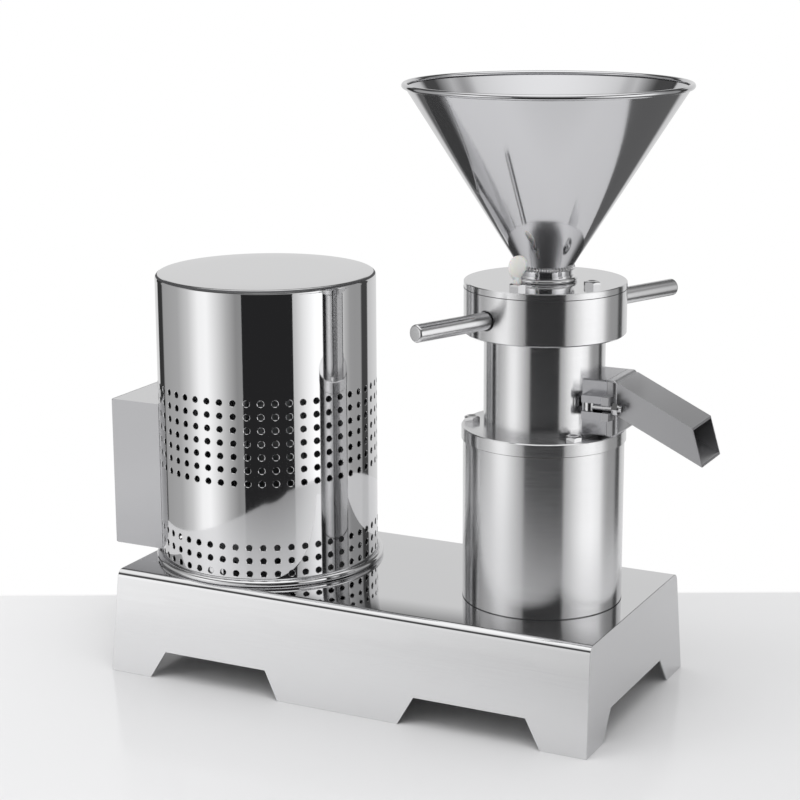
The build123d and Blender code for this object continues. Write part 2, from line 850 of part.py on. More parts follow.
with BuildPart() as terminal_box_lid:
    with BuildSketch(Plane((box_inner_left, 0, box_mid_z), x_dir=(0, -1, 0), z_dir=(-1, 0, 0))):
        RectangleRounded(box_depth, box_height, box_lid_corner)
        with GridLocations(*screw_grid):
            Circle(box_screw / 2 + bolt_gap / 2, mode=Mode.SUBTRACT)
        with Locations((0, switch_z - box_mid_z)):
            Rectangle(switch_width + 2 * rest_gap, switch_height + 2 * rest_gap, mode=Mode.SUBTRACT)
    extrude(amount=box_sheet)
terminal_box_lid.part.label = "terminal_box_lid"
export_step(terminal_box_lid.part, "parts/terminal_box_lid.step")

lid_screw = hex_bolt(box_screw, 4 * box_sheet)
with BuildPart() as box_lid_screws:
    with Locations(Plane((box_left, 0, box_mid_z), x_dir=(0, 1, 0), z_dir=(-1, 0, 0))):
        with GridLocations(*screw_grid):
            add(lid_screw)
box_lid_screws.part.label = "box_lid_screws"
export_step(box_lid_screws.part, "parts/box_lid_screws.step")

# A rocker pivoted on the middle of the lid's opening, dished on its outer side
rocker_half = switch_height / 2 - switch_wall - rest_gap
with BuildPart() as power_switch:
    with BuildSketch(Plane.XZ):
        Polygon(
            (box_left - 4.0, switch_z + rocker_half - 1.0),
            (box_left - 1.5, switch_z),
            (box_left - 4.0, switch_z - rocker_half + 1.0),
            (box_left + 6.0, switch_z - rocker_half + 2.0),
            (box_left + 6.0, switch_z + rocker_half - 2.0),
            align=None,
        )
    extrude(amount=switch_width / 2 - switch_wall - rest_gap, both=True)
power_switch.part.label = "power_switch"
export_step(power_switch.part, "parts/power_switch.step")

# The frame round the rocker, clipped into the lid
switch_plane = Plane((box_left, 0, switch_z), x_dir=(0, 1, 0), z_dir=(-1, 0, 0))
switch_depth = 14.0
with BuildPart() as switch_frame:
    with BuildSketch(switch_plane):
        Rectangle(switch_width + 2 * switch_rim, switch_height + 2 * switch_rim)
    extrude(amount=switch_wall)
    with BuildSketch(switch_plane):
        Rectangle(switch_width, switch_height)
    extrude(amount=-switch_depth)
    with BuildSketch(switch_plane):
        Rectangle(switch_width - 2 * switch_wall, switch_height - 2 * switch_wall)
    extrude(amount=switch_depth - switch_wall, both=True, mode=Mode.SUBTRACT)
switch_frame.part.label = "switch_frame"
export_step(switch_frame.part, "parts/switch_frame.step")

capacitor_y = box_depth / 2 - box_sheet - capacitor_radius - rest_gap
capacitor_swing = saddle + box_sheet + capacitor_radius + rest_gap
capacitor_x = motor_x - math.sqrt(capacitor_swing**2 - capacitor_y**2)
with BuildPart() as start_capacitor:
    with Locations((capacitor_x, -capacitor_y, box_bottom + box_sheet)):
        Cylinder(
            capacitor_radius,
            capacitor_height,
            align=(Align.CENTER, Align.CENTER, Align.MIN),
        )
    with Locations((capacitor_x, -capacitor_y, box_bottom + capacitor_height)):
        with GridLocations(14.0, 1.0, 2, 1):
            Box(1.0, 6.0, 12.0, align=(Align.CENTER, Align.CENTER, Align.MIN))
start_capacitor.part.label = "start_capacitor"
export_step(start_capacitor.part, "parts/start_capacitor.step")

block_x = box_inner_left + 3 * box_sheet + block_width / 2
block_y = box_depth / 2 - box_screw_inset - block_length / 2
block_pitch = block_length / block_ways
with BuildPart() as terminal_block:
    with Locations((block_x, block_y, box_bottom + box_sheet + block_height / 2)):
        Box(block_width, block_length, block_height)
        with Locations((0, 0, block_height / 2)):
            with GridLocations(block_width, block_pitch, 1, block_ways):
                Box(0.7 * block_width, 0.7 * block_pitch, 0.6 * block_height, mode=Mode.SUBTRACT)
terminal_block.part.label = "terminal_block"
export_step(terminal_block.part, "parts/terminal_block.step")

gland_plane = Plane((gland_x, box_depth / 2, gland_height), z_dir=(0, 1, 0))
with BuildPart() as cable_gland:
    with BuildSketch(gland_plane):
        RegularPolygon(gland_hex / 2, 6, major_radius=False)
    extrude(amount=gland_reach / 4)
    with BuildSketch(gland_plane):
        Circle(0.9 * gland_hex / 2)
    extrude(amount=gland_reach)
    chamfer(cable_gland.edges().sort_by(Axis.Y)[-1], gland_reach / 8)
    with BuildSketch(gland_plane):
        Circle(gland_radius)
    extrude(amount=-gland_reach / 3)
    with BuildSketch(gland_plane):
        Circle(gland_bore)
    extrude(amount=gland_reach, both=True, mode=Mode.SUBTRACT)
cable_gland.part.label = "cable_gland"
export_step(cable_gland.part, "parts/cable_gland.step")

# The grinding head: bearing housing, an open-bottomed casting with a barrel in its middle

foot_inner = housing_radius - housing_wall - housing_foot_width
web_length = housing_radius - housing_wall - bearing_bore - barrel_wall
web_mid = bearing_bore + barrel_wall + web_length / 2
with BuildPart() as bearing_housing:
    with BuildSketch(Plane.XZ):
        with Locations((housing_radius - housing_wall / 2, (deck_z + housing_top) / 2)):
            Rectangle(housing_wall, housing_top - deck_z)
        with Locations(((housing_radius + foot_inner) / 2, deck_z + housing_foot / 2)):
            Rectangle(housing_radius - foot_inner, housing_foot)
        with Locations(((housing_radius + bearing_bore) / 2, housing_top - housing_deck / 2)):
            Rectangle(housing_radius - bearing_bore, housing_deck)
        with Locations((bearing_bore + barrel_wall / 2, (barrel_bottom + housing_top) / 2)):
            Rectangle(barrel_wall, housing_top - barrel_bottom)
    revolve(axis=Axis.Z)
    with BuildSketch(Plane.XY.offset(housing_top - housing_deck)):
        with PolarLocations(web_mid, web_count):
            Rectangle(web_length + housing_wall, web_thickness)
    extrude(amount=barrel_bottom - housing_top + housing_deck)
    with BuildSketch(Plane.XY.offset(deck_z)):
        with PolarLocations(foot_bolt_circle, 4, start_angle=45):
            Circle(housing_bolt / 2 + seat_gap)
    extrude(amount=housing_foot, mode=Mode.SUBTRACT)
    with BuildSketch(Plane.XY.offset(housing_top)):
        with PolarLocations(flange_bolt_circle, 3, start_angle=flange_bolt_start):
            Circle(flange_bolt / 2 + seat_gap)
    extrude(amount=flange_bolt_floor - housing_deck, mode=Mode.SUBTRACT)
bearing_housing.part = Pos(head_x, 0, 0) * bearing_housing.part
bearing_housing.part.label = "bearing_housing"
export_step(bearing_housing.part, "parts/bearing_housing.step")

foot_bolt = hex_bolt(housing_bolt, base_sheet + plate_thickness + 0.9 * housing_foot)
with BuildPart() as housing_bolts:
    with Locations(Plane((head_x, 0, plate_bottom), x_dir=(1, 0, 0), z_dir=(0, 0, -1))):
        with PolarLocations(foot_bolt_circle, 4, start_angle=45):
            add(foot_bolt)
housing_bolts.part.label = "housing_bolts"
export_step(housing_bolts.part, "parts/housing_bolts.step")

spindle_race = ball_bearing(journal_radius + running_gap, bearing_radius, bearing_width)
with BuildPart() as spindle_bearings:
    with Locations((head_x, 0, lower_bearing_z), (head_x, 0, upper_bearing_z)):
        add(spindle_race)
spindle_bearings.part.label = "spindle_bearings"
export_step(spindle_bearings.part, "parts/spindle_bearings.step")

with BuildPart() as bearing_spacer:
    with BuildSketch(Plane.XY.offset(lower_bearing_z + bearing_width)):
        Circle(bearing_radius)
        Circle((bearing_radius + spindle_body_radius) / 2, mode=Mode.SUBTRACT)
    extrude(amount=upper_bearing_z - lower_bearing_z - bearing_width)
bearing_spacer.part = Pos(head_x, 0, 0) * bearing_spacer.part
bearing_spacer.part.label = "bearing_spacer"
export_step(bearing_spacer.part, "parts/bearing_spacer.step")

# The cap holds the lower bearing from below, with a spigot inside the barrel
with BuildPart() as lower_bearing_cap:
    with BuildSketch(Plane.XY.offset(barrel_bottom - cap_thickness)):
        Circle(bearing_bore + barrel_wall)
    extrude(amount=cap_thickness)
    with BuildSketch(Plane.XY.offset(barrel_bottom)):
        Circle(bearing_radius)
    extrude(amount=lower_bearing_z - barrel_bottom)
    with BuildSketch(Plane.XY.offset(barrel_bottom - cap_thickness)):
        Circle(spindle_body_radius)
    extrude(amount=cap_thickness + lower_bearing_z, mode=Mode.SUBTRACT)
lower_bearing_cap.part = Pos(head_x, 0, 0) * lower_bearing_cap.part
lower_bearing_cap.part.label = "lower_bearing_cap"
export_step(lower_bearing_cap.part, "parts/lower_bearing_cap.step")

# Grinding chamber with its flange, floor and hub, opened on the right for the outlet

with BuildPart() as chamber_gasket:
    with BuildSketch(Plane.XY.offset(housing_top)):
        Circle(housing_radius)
        Circle(bearing_bore + barrel_wall, mode=Mode.SUBTRACT)
        with PolarLocations(flange_bolt_circle, 3, start_angle=flange_bolt_start):
            Circle(flange_bolt / 2 + bolt_gap, mode=Mode.SUBTRACT)
    extrude(amount=gasket_thickness)
chamber_gasket.part = Pos(head_x, 0, 0) * chamber_gasket.part
chamber_gasket.part.label = "chamber_gasket"
export_step(chamber_gasket.part, "parts/chamber_gasket.step")

duct_inner_half = duct_half_width - duct_wall
duct_inner_bottom = duct_bottom + duct_wall
duct_inner_top = duct_top - duct_wall
key_pin_z = stator_bottom + stator_key_lift
with BuildPart() as grinding_chamber:
    with BuildSketch(Plane.XZ):
        with BuildLine():
            Polyline(
                (neck_hole, flange_bottom),
                (flange_radius, flange_bottom),
                (flange_radius, flange_top - flange_edge),
                (flange_radius - flange_edge, flange_top),
                (chamber_radius, flange_top),
                (chamber_radius, chamber_top),
                (chamber_bore, chamber_top),
                (chamber_bore, chamber_floor),
                (hub_radius, hub_top),
                (seal_radius + seat_gap, hub_top),
                (seal_radius + seat_gap, hub_top - seal_height),
                (neck_hole, hub_top - seal_height),
                close=True,
            )
        make_face()
    revolve(axis=Axis.Z)
    with BuildSketch(Plane.XY.offset(flange_top)):
        with PolarLocations(flange_bolt_circle, 3, start_angle=flange_bolt_start):
            Circle(flange_bolt / 2 + bolt_gap)
    extrude(amount=flange_bottom - flange_top, mode=Mode.SUBTRACT)
    with Locations(((chamber_bore + chamber_radius) / 2, 0, (duct_inner_bottom + duct_inner_top) / 2)):
        Box(
            3 * (chamber_radius - chamber_bore),
            2 * duct_inner_half,
            duct_inner_top - duct_inner_bottom,
            mode=Mode.SUBTRACT,
        )
    # Radial hole at the back for the pin that keeps the stator from turning
    with Locations(Plane((0, chamber_radius, key_pin_z), z_dir=(0, 1, 0))):
        Cylinder(stator_key_radius + seat_gap, 4 * (chamber_radius - chamber_bore), mode=Mode.SUBTRACT)
grinding_chamber.part = Pos(head_x, 0, 0) * grinding_chamber.part
grinding_chamber.part.label = "grinding_chamber"
export_step(grinding_chamber.part, "parts/grinding_chamber.step")

flange_screw_length = flange_top - housing_top + housing_deck - 1.5 * flange_bolt_floor
flange_screw = hex_bolt(flange_bolt, flange_screw_length, crowned=True)
with BuildPart() as flange_bolts:
    with Locations((head_x, 0, flange_top)):
        with PolarLocations(flange_bolt_circle, 3, start_angle=flange_bolt_start):
            add(flange_screw)
flange_bolts.part.label = "flange_bolts"
export_step(flange_bolts.part, "parts/flange_bolts.step")

with BuildPart() as shaft_seal:
    with BuildSketch(Plane.XZ):
        with BuildLine():
            Polyline(
                (spindle_neck_radius + running_gap, hub_top - 0.6 * seal_height),
                (spindle_neck_radius + 0.2 * seal_height, hub_top),
                (seal_radius, hub_top),
                (seal_radius, hub_top - seal_height),
                (spindle_neck_radius + running_gap, hub_top - seal_height),
                close=True,
            )
        make_face()
    revolve(axis=Axis.Z)
shaft_seal.part = Pos(head_x, 0, 0) * shaft_seal.part
shaft_seal.part.label = "shaft_seal"
export_step(shaft_seal.part, "parts/shaft_seal.step")

with BuildPart() as stator_key:
    with BuildSketch(Plane((0, chamber_radius, key_pin_z), z_dir=(0, -1, 0))):
        Circle(stator_key_radius)
    extrude(amount=chamber_radius - chamber_bore + stator_key_reach)
stator_key.part = Pos(head_x, 0, 0) * stator_key.part
stator_key.part.label = "stator_key"
export_step(stator_key.part, "parts/stator_key.step")

# The grinding head's turning group

spindle_end = pulley_bottom - shaft_gap
neck_start = upper_bearing_z + bearing_width + shoulder_gap
with BuildPart() as spindle:
    with BuildSketch(Plane.XZ):
        with BuildLine():
            Polyline(
                (0, spindle_end),
                (spindle_pulley_radius, spindle_end),
                (spindle_pulley_radius, pulley_top + shoulder_gap),
                (journal_radius, pulley_top + shoulder_gap),
                (journal_radius, lower_bearing_z + bearing_width + shoulder_gap),
                (spindle_body_radius, lower_bearing_z + bearing_width + shoulder_gap),
                (spindle_body_radius, upper_bearing_z - shoulder_gap),
                (journal_radius, upper_bearing_z - shoulder_gap),
                (journal_radius, neck_start),
                (spindle_neck_radius, neck_start),
                (spindle_neck_radius, rotor_bottom),
                (rotor_seat_radius, rotor_bottom),
                (rotor_seat_radius, rotor_top),
                (spindle_thread_radius, rotor_top),
                (spindle_thread_radius, rotor_top + spindle_thread_length),
                (0, rotor_top + spindle_thread_length),
                close=True,
            )
        make_face()
    revolve(axis=Axis.Z)
    add(key_seat(spindle_pulley_radius, pulley_top), mode=Mode.SUBTRACT)
spindle.part = Pos(head_x, 0, 0) * spindle.part
spindle.part.label = "spindle"
export_step(spindle.part, "parts/spindle.step")

with BuildPart() as spindle_pulley:
    with Locations((head_x, 0, pulley_bottom)):
        add(pulley(spindle_pitch_radius, spindle_pulley_radius + seat_gap))
spindle_pulley.part.label = "spindle_pulley"
export_step(spindle_pulley.part, "parts/spindle_pulley.step")

with BuildPart() as spindle_key:
    with Locations((head_x, 0, 0)):
        add(feather_key(spindle_pulley_radius, pulley_top))
spindle_key.part.label = "spindle_key"
export_step(spindle_key.part, "parts/spindle_key.step")


def tooth_slots(radius, inside):
    """Slanted slots round a cone at mid-height, cut into its outside or its inside."""
    reach = tooth_depth if inside else -tooth_depth
    lean = math.degrees(math.atan(cone_slope))
    with BuildPart() as slots:
        with PolarLocations(radius, tooth_count):
            with Locations(Location((reach / 2, 0, 0), (tooth_skew, -lean, 0))):
                Box(tooth_depth + 0.4, tooth_width, 2 * rotor_height)
    return slots.part


# Toothed cone, the turning half of the mill
rotor_mid = rotor_bottom + rotor_height / 2
rotor_mid_radius = (rotor_bottom_radius + rotor_top_radius) / 2
rotor_slots = tooth_slots(rotor_mid_radius, False)
with BuildPart() as grinding_rotor:
    with BuildSketch(Plane.XZ):
        with BuildLine():
            Polyline(
                (rotor_seat_radius + seat_gap, rotor_bottom),
                (rotor_bottom_radius, rotor_bottom),
                (rotor_top_radius, rotor_top),
                (rotor_seat_radius + seat_gap, rotor_top),
                close=True,
            )
        make_face()
    revolve(axis=Axis.Z)
    with Locations((0, 0, rotor_mid)):
        add(rotor_slots, mode=Mode.SUBTRACT)
grinding_rotor.part = Pos(head_x, 0, 0) * grinding_rotor.part
grinding_rotor.part.label = "grinding_rotor"
export_step(grinding_rotor.part, "parts/grinding_rotor.step")

# Cap nut with two feeding vanes, that screws on the spindle above the cone
with BuildPart() as feed_cap:
    with BuildSketch(Plane.XZ):
        with BuildLine():
            Polyline(
                (0, rotor_top),
                (feed_radius, rotor_top),
                (feed_radius, rotor_top + 0.25 * feed_height),
                (0.55 * feed_radius, rotor_top + 0.75 * feed_height),
                (0.3 * feed_radius, rotor_top + feed_height),
                (0, rotor_top + feed_height),
                close=True,
            )
        make_face()
    revolve(axis=Axis.Z)
    with BuildSketch(Plane.XY.offset(rotor_top)):
        with PolarLocations(0.9 * feed_radius, 2):
            Rectangle(0.6 * feed_radius, 0.2 * feed_radius)
    extrude(amount=0.4 * feed_height)
    with BuildSketch(Plane.XY.offset(rotor_top)):
        Circle(spindle_thread_radius + seat_gap)
    extrude(amount=spindle_thread_length + shoulder_gap, mode=Mode.SUBTRACT)
feed_cap.part = Pos(head_x, 0, 0) * feed_cap.part
feed_cap.part.label = "feed_cap"
export_step(feed_cap.part, "parts/feed_cap.step")

# Toothed ring, the fixed half: it slides in the chamber's bore and hangs by its flange
stator_top = ring_top - ring_deck - rest_gap
stator_slots = tooth_slots(rotor_mid_radius + cone_gap, True)
with BuildPart() as grinding_stator:
    with BuildSketch(Plane.XZ):
        with BuildLine():
            at_rotor_top = rotor_top_radius + cone_gap
            Polyline(
                (at_rotor_top + cone_slope * (rotor_top - stator_bottom), stator_bottom),
                (chamber_bore - running_gap, stator_bottom),
                (chamber_bore - running_gap, stator_top - stator_flange_height),
                (stator_flange_radius, stator_top - stator_flange_height),
                (stator_flange_radius, stator_top),
                (0.9 * ring_deck_bore, stator_top),
                (at_rotor_top, rotor_top),
                close=True,
            )
        make_face()
    revolve(axis=Axis.Z)
    with Locations((0, 0, rotor_mid)):
        add(stator_slots, mode=Mode.SUBTRACT)
    # Upright groove for the key pin, as long as the ring's travel
    with Locations((0, chamber_bore, key_pin_z - (lift_up - lift_down) / 2)):
        Box(
            2 * (stator_key_radius + rest_gap),
            3 * stator_key_reach,
            2 * (stator_key_radius + rest_gap) + lift_up + lift_down,
            mode=Mode.SUBTRACT,
        )
grinding_stator.part = Pos(head_x, 0, 0) * grinding_stator.part
grinding_stator.part.label = "grinding_stator"
export_step(grinding_stator.part, "parts/grinding_stator.step")

# Adjusting ring, lid and handles: one group that screws up and down on the chamber

ring_bore = chamber_radius + running_gap
retainer_top = stator_top - stator_flange_height - rest_gap
front_handle_angle = handle_angle + 180.0
handle_end = ring_bore + handle_skin
with BuildPart() as adjusting_ring:
    with BuildSketch(Plane.XY.offset(ring_bottom)):
        Circle(ring_radius)
        Circle(ring_bore, mode=Mode.SUBTRACT)
    extrude(amount=ring_top - ring_bottom)
    with BuildSketch(Plane.XY.offset(ring_top - ring_deck)):
        Circle(ring_bore)
        Circle(ring_deck_bore, mode=Mode.SUBTRACT)
    extrude(amount=ring_deck)
    outer_edges = adjusting_ring.edges().filter_by(GeomType.CIRCLE).group_by(SortBy.RADIUS)[-1]
    chamfer(outer_edges.sort_by(Axis.Z)[0], ring_edge)
    with Locations((0, 0, retainer_top - retainer_thickness / 2)):
        Cylinder(retainer_outer + seat_gap, retainer_thickness + 2 * seat_gap, mode=Mode.SUBTRACT)
    for angle in (handle_angle, front_handle_angle):
        outward = (*polar(1, angle, 0), 0)
        bore_plane = Plane((*polar(handle_seat, angle, 0), handle_height), z_dir=outward)
        with BuildSketch(bore_plane):
            Circle(handle_radius + handle_hole_gap)
        extrude(amount=ring_radius, mode=Mode.SUBTRACT)
        with BuildSketch(bore_plane):
            Circle(handle_spigot + seat_gap)
        extrude(amount=handle_end - handle_seat, mode=Mode.SUBTRACT)
    with BuildSketch(Plane.XY.offset(ring_top)):
        with Locations(*[polar(lid_bolt_circle, angle, 0) for angle in lid_bolt_angles]):
            Circle(lid_bolt / 2 + seat_gap)
    extrude(amount=lid_bolt_floor - ring_deck, mode=Mode.SUBTRACT)
    with BuildSketch(Plane.XY.offset(ring_top)):
        with Locations(polar(lid_bolt_circle, port_angle, 0)):
            Circle(port_bore)
    extrude(amount=-ring_deck, mode=Mode.SUBTRACT)
adjusting_ring.part = Pos(head_x, 0, 0) * adjusting_ring.part
adjusting_ring.part.label = "adjusting_ring"
export_step(adjusting_ring.part, "parts/adjusting_ring.step")

# Split ring in the adjusting ring's groove, that carries the stator's flange
with BuildPart() as retaining_ring:
    with BuildSketch(Plane.XY.offset(retainer_top - retainer_thickness)):
        Circle(retainer_outer)
        Circle(retainer_inner, mode=Mode.SUBTRACT)
        with Locations(((retainer_inner + retainer_outer) / 2, 0)):
            Rectangle(2 * (retainer_outer - retainer_inner), 5.0, mode=Mode.SUBTRACT)
    extrude(amount=retainer_thickness)
retaining_ring.part = Pos(head_x, 0, 0) * retaining_ring.part
retaining_ring.part.label = "retaining_ring"
export_step(retaining_ring.part, "parts/retaining_ring.step")


def handle(reach):
    """Round bar along +X with a threaded end, its shoulder at the bottom of its hole."""
    thread_start = handle_end + seat_gap
    shoulder = handle_seat + seat_gap
    with BuildPart() as bar:
        with BuildSketch(Plane.XZ):
            Polygon(
                (thread_start, 0),
                (thread_start, handle_spigot),
                (shoulder, handle_spigot),
                (shoulder, handle_radius),
                (reach, handle_radius),
                (reach, 0),
                align=None,
            )
        revolve(axis=Axis.X)
        fillet(bar.edges().sort_by(Axis.X)[-1], handle_round)
    return bar.part


with BuildPart() as front_handle:
    with Locations(Location((head_x, 0, handle_height), (0, 0, front_handle_angle))):
        add(handle(front_handle_reach))
front_handle.part.label = "front_handle"
export_step(front_handle.part, "parts/front_handle.step")

with BuildPart() as rear_handle:
    with Locations(Location((head_x, 0, handle_height), (0, 0, handle_angle))):
        add(handle(rear_handle_reach))
rear_handle.part.label = "rear_handle"
export_step(rear_handle.part, "parts/rear_handle.step")

with BuildPart() as lid_plate:
    with BuildSketch(Plane.XY.offset(ring_top)):
        Circle(ring_radius)
        Circle(socket_bore, mode=Mode.SUBTRACT)
        with Locations(*[polar(lid_bolt_circle, angle, 0) for angle in lid_bolt_angles]):
            Circle(lid_bolt / 2 + bolt_gap, mode=Mode.SUBTRACT)
        with Locations(polar(lid_bolt_circle, port_angle, 0)):
            Circle(lid_bolt / 2 + seat_gap, mode=Mode.SUBTRACT)
    extrude(amount=lid_thickness)
    chamfer(lid_plate.edges().group_by(Axis.Z)[-1].sort_by(SortBy.RADIUS)[-1], lid_edge)
lid_plate.part = Pos(head_x, 0, 0) * lid_plate.part
lid_plate.part.label = "lid_plate"
export_step(lid_plate.part, "parts/lid_plate.step")

lid_screw_length = lid_thickness + ring_deck - 1.5 * lid_bolt_floor
lid_screw_blank = hex_bolt(lid_bolt, lid_screw_length, crowned=True)
with BuildPart() as lid_bolts:
    with Locations(*[(*polar(lid_bolt_circle, angle), lid_top) for angle in lid_bolt_angles]):
        add(lid_screw_blank)
lid_bolts.part.label = "lid_bolts"
export_step(lid_bolts.part, "parts/lid_bolts.step")

# Hexagonal nipple of the oil port, and the soft white plug that closes it
port_head = 0.64 * lid_bolt
with BuildPart() as port_fitting:
    with Locations((*polar(lid_bolt_circle, port_angle), lid_top)):
        add(hex_bolt(lid_bolt, lid_thickness - seat_gap, crowned=True))
        Cylinder(port_bore, 4 * lid_thickness, mode=Mode.SUBTRACT)
port_fitting.part.label = "port_fitting"
export_step(port_fitting.part, "parts/port_fitting.step")

with BuildPart() as plug_blank:
    with BuildSketch(Plane.XZ):
        Polygon(
            (0, -plug_stem_height),
            (port_bore - running_gap, -plug_stem_height),
            (port_bore - running_gap, 0),
            (plug_stem, 0),
            (plug_stem, plug_stem_height),
            (0, plug_stem_height),
            align=None,
        )
    revolve(axis=Axis.Z)
    with BuildSketch(Plane.XZ):
        with Locations((0, plug_stem_height / 2 + plug_height / 2)):
            Ellipse(plug_width / 2, plug_height / 2)
    extrude(amount=plug_thickness / 2, both=True)
with BuildPart() as port_plug:
    with Locations(Location((*polar(lid_bolt_circle, port_angle), lid_top + port_head), (0, 0, 30))):
        add(plug_blank.part)
port_plug.part.label = "port_plug"
export_step(port_plug.part, "parts/port_plug.step")

with BuildPart() as hopper_socket:
    with BuildSketch(Plane.XY.offset(lid_top)):
        Circle(socket_radius)
        Circle(socket_bore, mode=Mode.SUBTRACT)
    extrude(amount=socket_height)
    chamfer(hopper_socket.edges().group_by(Axis.Z)[-1].sort_by(SortBy.RADIUS)[-1], lid_edge)
hopper_socket.part = Pos(head_x, 0, 0) * hopper_socket.part
hopper_socket.part.label = "hopper_socket"
export_step(hopper_socket.part, "parts/hopper_socket.step")

# Spun hopper with its neck and rolled rim

spigot_radius = socket_bore - running_gap
hopper_bore = spigot_radius - 2 * hopper_sheet
neck_bottom = socket_top + running_gap
with BuildPart() as hopper:
    with BuildSketch(Plane.XZ):
        with BuildLine():
            Polyline(
                (hopper_bore, socket_top - spigot_depth),
                (spigot_radius, socket_top - spigot_depth),
                (spigot_radius, neck_bottom),
                (neck_radius, neck_bottom),
                (neck_radius, neck_top),
                (hopper_rim_radius + hopper_sheet / 2, hopper_rim_z),
                (hopper_rim_radius - hopper_sheet, hopper_rim_z),
                (hopper_bore, neck_top),
                close=True,
            )
        make_face()
        with Locations((hopper_rim_radius, hopper_rim_z)):
            Circle(hopper_bead)
    revolve(axis=Axis.Z)
hopper.part = Pos(head_x, 0, 0) * hopper.part
hopper.part.label = "hopper"
export_step(hopper.part, "parts/hopper.step")

# The outlet: a square duct welded to the chamber, with a fork for a clamp on each side

duct_mid_z = (duct_bottom + duct_top) / 2
duct_height = duct_top - duct_bottom
duct_mid_x = (head_x + duct_end) / 2
lug_z = (lug_slot + lug_thickness) / 2
fork_mid_x = duct_end - lug_length / 2
with BuildPart() as outlet_duct:
    with Locations((duct_mid_x, 0, duct_mid_z)):
        Box(duct_end - head_x, 2 * duct_half_width, duct_height)
    fillet(outlet_duct.edges().filter_by(Axis.X), duct_corner)
    with Locations((fork_mid_x, clamp_y, clamp_z), (fork_mid_x, -clamp_y, clamp_z)):
        with Locations((0, 0, lug_z), (0, 0, -lug_z)):
            Box(lug_length, lug_reach, lug_thickness)
    with Locations((head_x, 0, duct_mid_z)):
        Cylinder(chamber_radius + seat_gap, 2 * duct_height, mode=Mode.SUBTRACT)
    with Locations((duct_mid_x, 0, duct_mid_z)):
        Box(
            2 * duct_end,
            2 * duct_inner_half,
            duct_inner_top - duct_inner_bottom,
            mode=Mode.SUBTRACT,
        )
    with Locations((pin_x, clamp_y, clamp_z), (pin_x, -clamp_y, clamp_z)):
        Cylinder(clamp_pin_radius + seat_gap, 4 * lug_thickness, mode=Mode.SUBTRACT)
outlet_duct.part.label = "outlet_duct"
export_step(outlet_duct.part, "parts/outlet_duct.step")

with BuildPart() as clamp_pins:
    with Locations((pin_x, clamp_y, clamp_z), (pin_x, -clamp_y, clamp_z)):
        Cylinder(clamp_pin_radius, lug_slot + 2 * lug_thickness)
clamp_pins.part.label = "clamp_pins"
export_step(clamp_pins.part, "parts/clamp_pins.step")

# The spout: a collar that meets the duct, and a sloping rectangular chute

collar_start = duct_end + rest_gap
collar_end = collar_start + collar_length
collar_mid = (collar_start + collar_end) / 2
chute_end = collar_end + chute_run
mouth_end = chute_end + chute_end_back
chute_slope = chute_fall / chute_run
with BuildPart() as spout:
    with Locations(((collar_start + collar_end) / 2, 0, duct_mid_z)):
        Box(collar_length, 2 * duct_half_width, duct_height)
    fillet(spout.edges().filter_by(Axis.X), duct_corner)
    fillet(spout.faces().sort_by(Axis.X)[-1].edges().sort_by(Axis.Z)[0], collar_length / 2)
    with BuildSketch(Plane.XZ):
        Polygon(
            (collar_mid, chute_start_z),
            (collar_end, chute_start_z),
            (chute_end, chute_start_z - chute_fall),
            (mouth_end, chute_start_z - chute_slope * (mouth_end - collar_end) - chute_side),
            (collar_end, chute_start_z - chute_side),
            (collar_mid, chute_start_z - chute_side),
            align=None,
        )
    extrude(amount=chute_half_width, both=True)
    # Keepers: slotted lugs whose outer faces are rounded about the pins
    for side in (-1, 1):
        with BuildSketch(Plane.XY.offset(clamp_z - keeper_height / 2)):
            with Locations((pin_x, side * clamp_y)):
                Circle(keeper_radius)
            with Locations((collar_start + keeper_length, side * duct_half_width)):
                Rectangle(2 * keeper_length, 2 * keeper_reach, mode=Mode.INTERSECT)
        extrude(amount=keeper_height)
        # The swing bolt drops into this slot from the side
        slot_edge = clamp_y - clamp_shank_radius - 1.5
        with Locations((collar_start, side * (slot_edge + keeper_reach), clamp_z)):
            Box(4 * keeper_length, 2 * keeper_reach, keeper_slot, mode=Mode.SUBTRACT)
    with Locations((collar_mid - chute_sheet, 0, duct_mid_z)):
        Box(
            collar_length,
            2 * duct_inner_half,
            duct_inner_top - duct_inner_bottom,
            mode=Mode.SUBTRACT,
        )
    with BuildSketch(Plane.XZ):
        sheet_drop = chute_sheet * math.sqrt(1 + chute_slope**2)
        inner_top = chute_start_z - sheet_drop
        inner_bottom = chute_start_z - chute_side + sheet_drop
        overrun_end = mouth_end + collar_length
        overrun_fall = chute_slope * (overrun_end - collar_end)
        Polygon(
            (collar_mid, inner_top),
            (collar_end, inner_top),
            (overrun_end, inner_top - overrun_fall),
            (overrun_end, inner_bottom - overrun_fall),
            (collar_end, inner_bottom),
            (collar_mid, inner_bottom),
            align=None,
        )
    extrude(amount=chute_half_width - chute_sheet, both=True, mode=Mode.SUBTRACT)
spout.part.label = "spout"
export_step(spout.part, "parts/spout.step")


def clamp_bolt():
    """Swing bolt along +X from the middle of its eye."""
    shank_end = keeper_radius + rest_gap + clamp_nut_height + clamp_shank_end
    with BuildPart() as bolt:
        Cylinder(clamp_eye_radius, lug_slot - 2 * rest_gap)
        with BuildSketch(Plane.YZ):
            Circle(clamp_shank_radius)
        extrude(amount=shank_end)
        Cylinder(clamp_pin_radius + running_gap, 2 * lug_slot, mode=Mode.SUBTRACT)
    return bolt.part


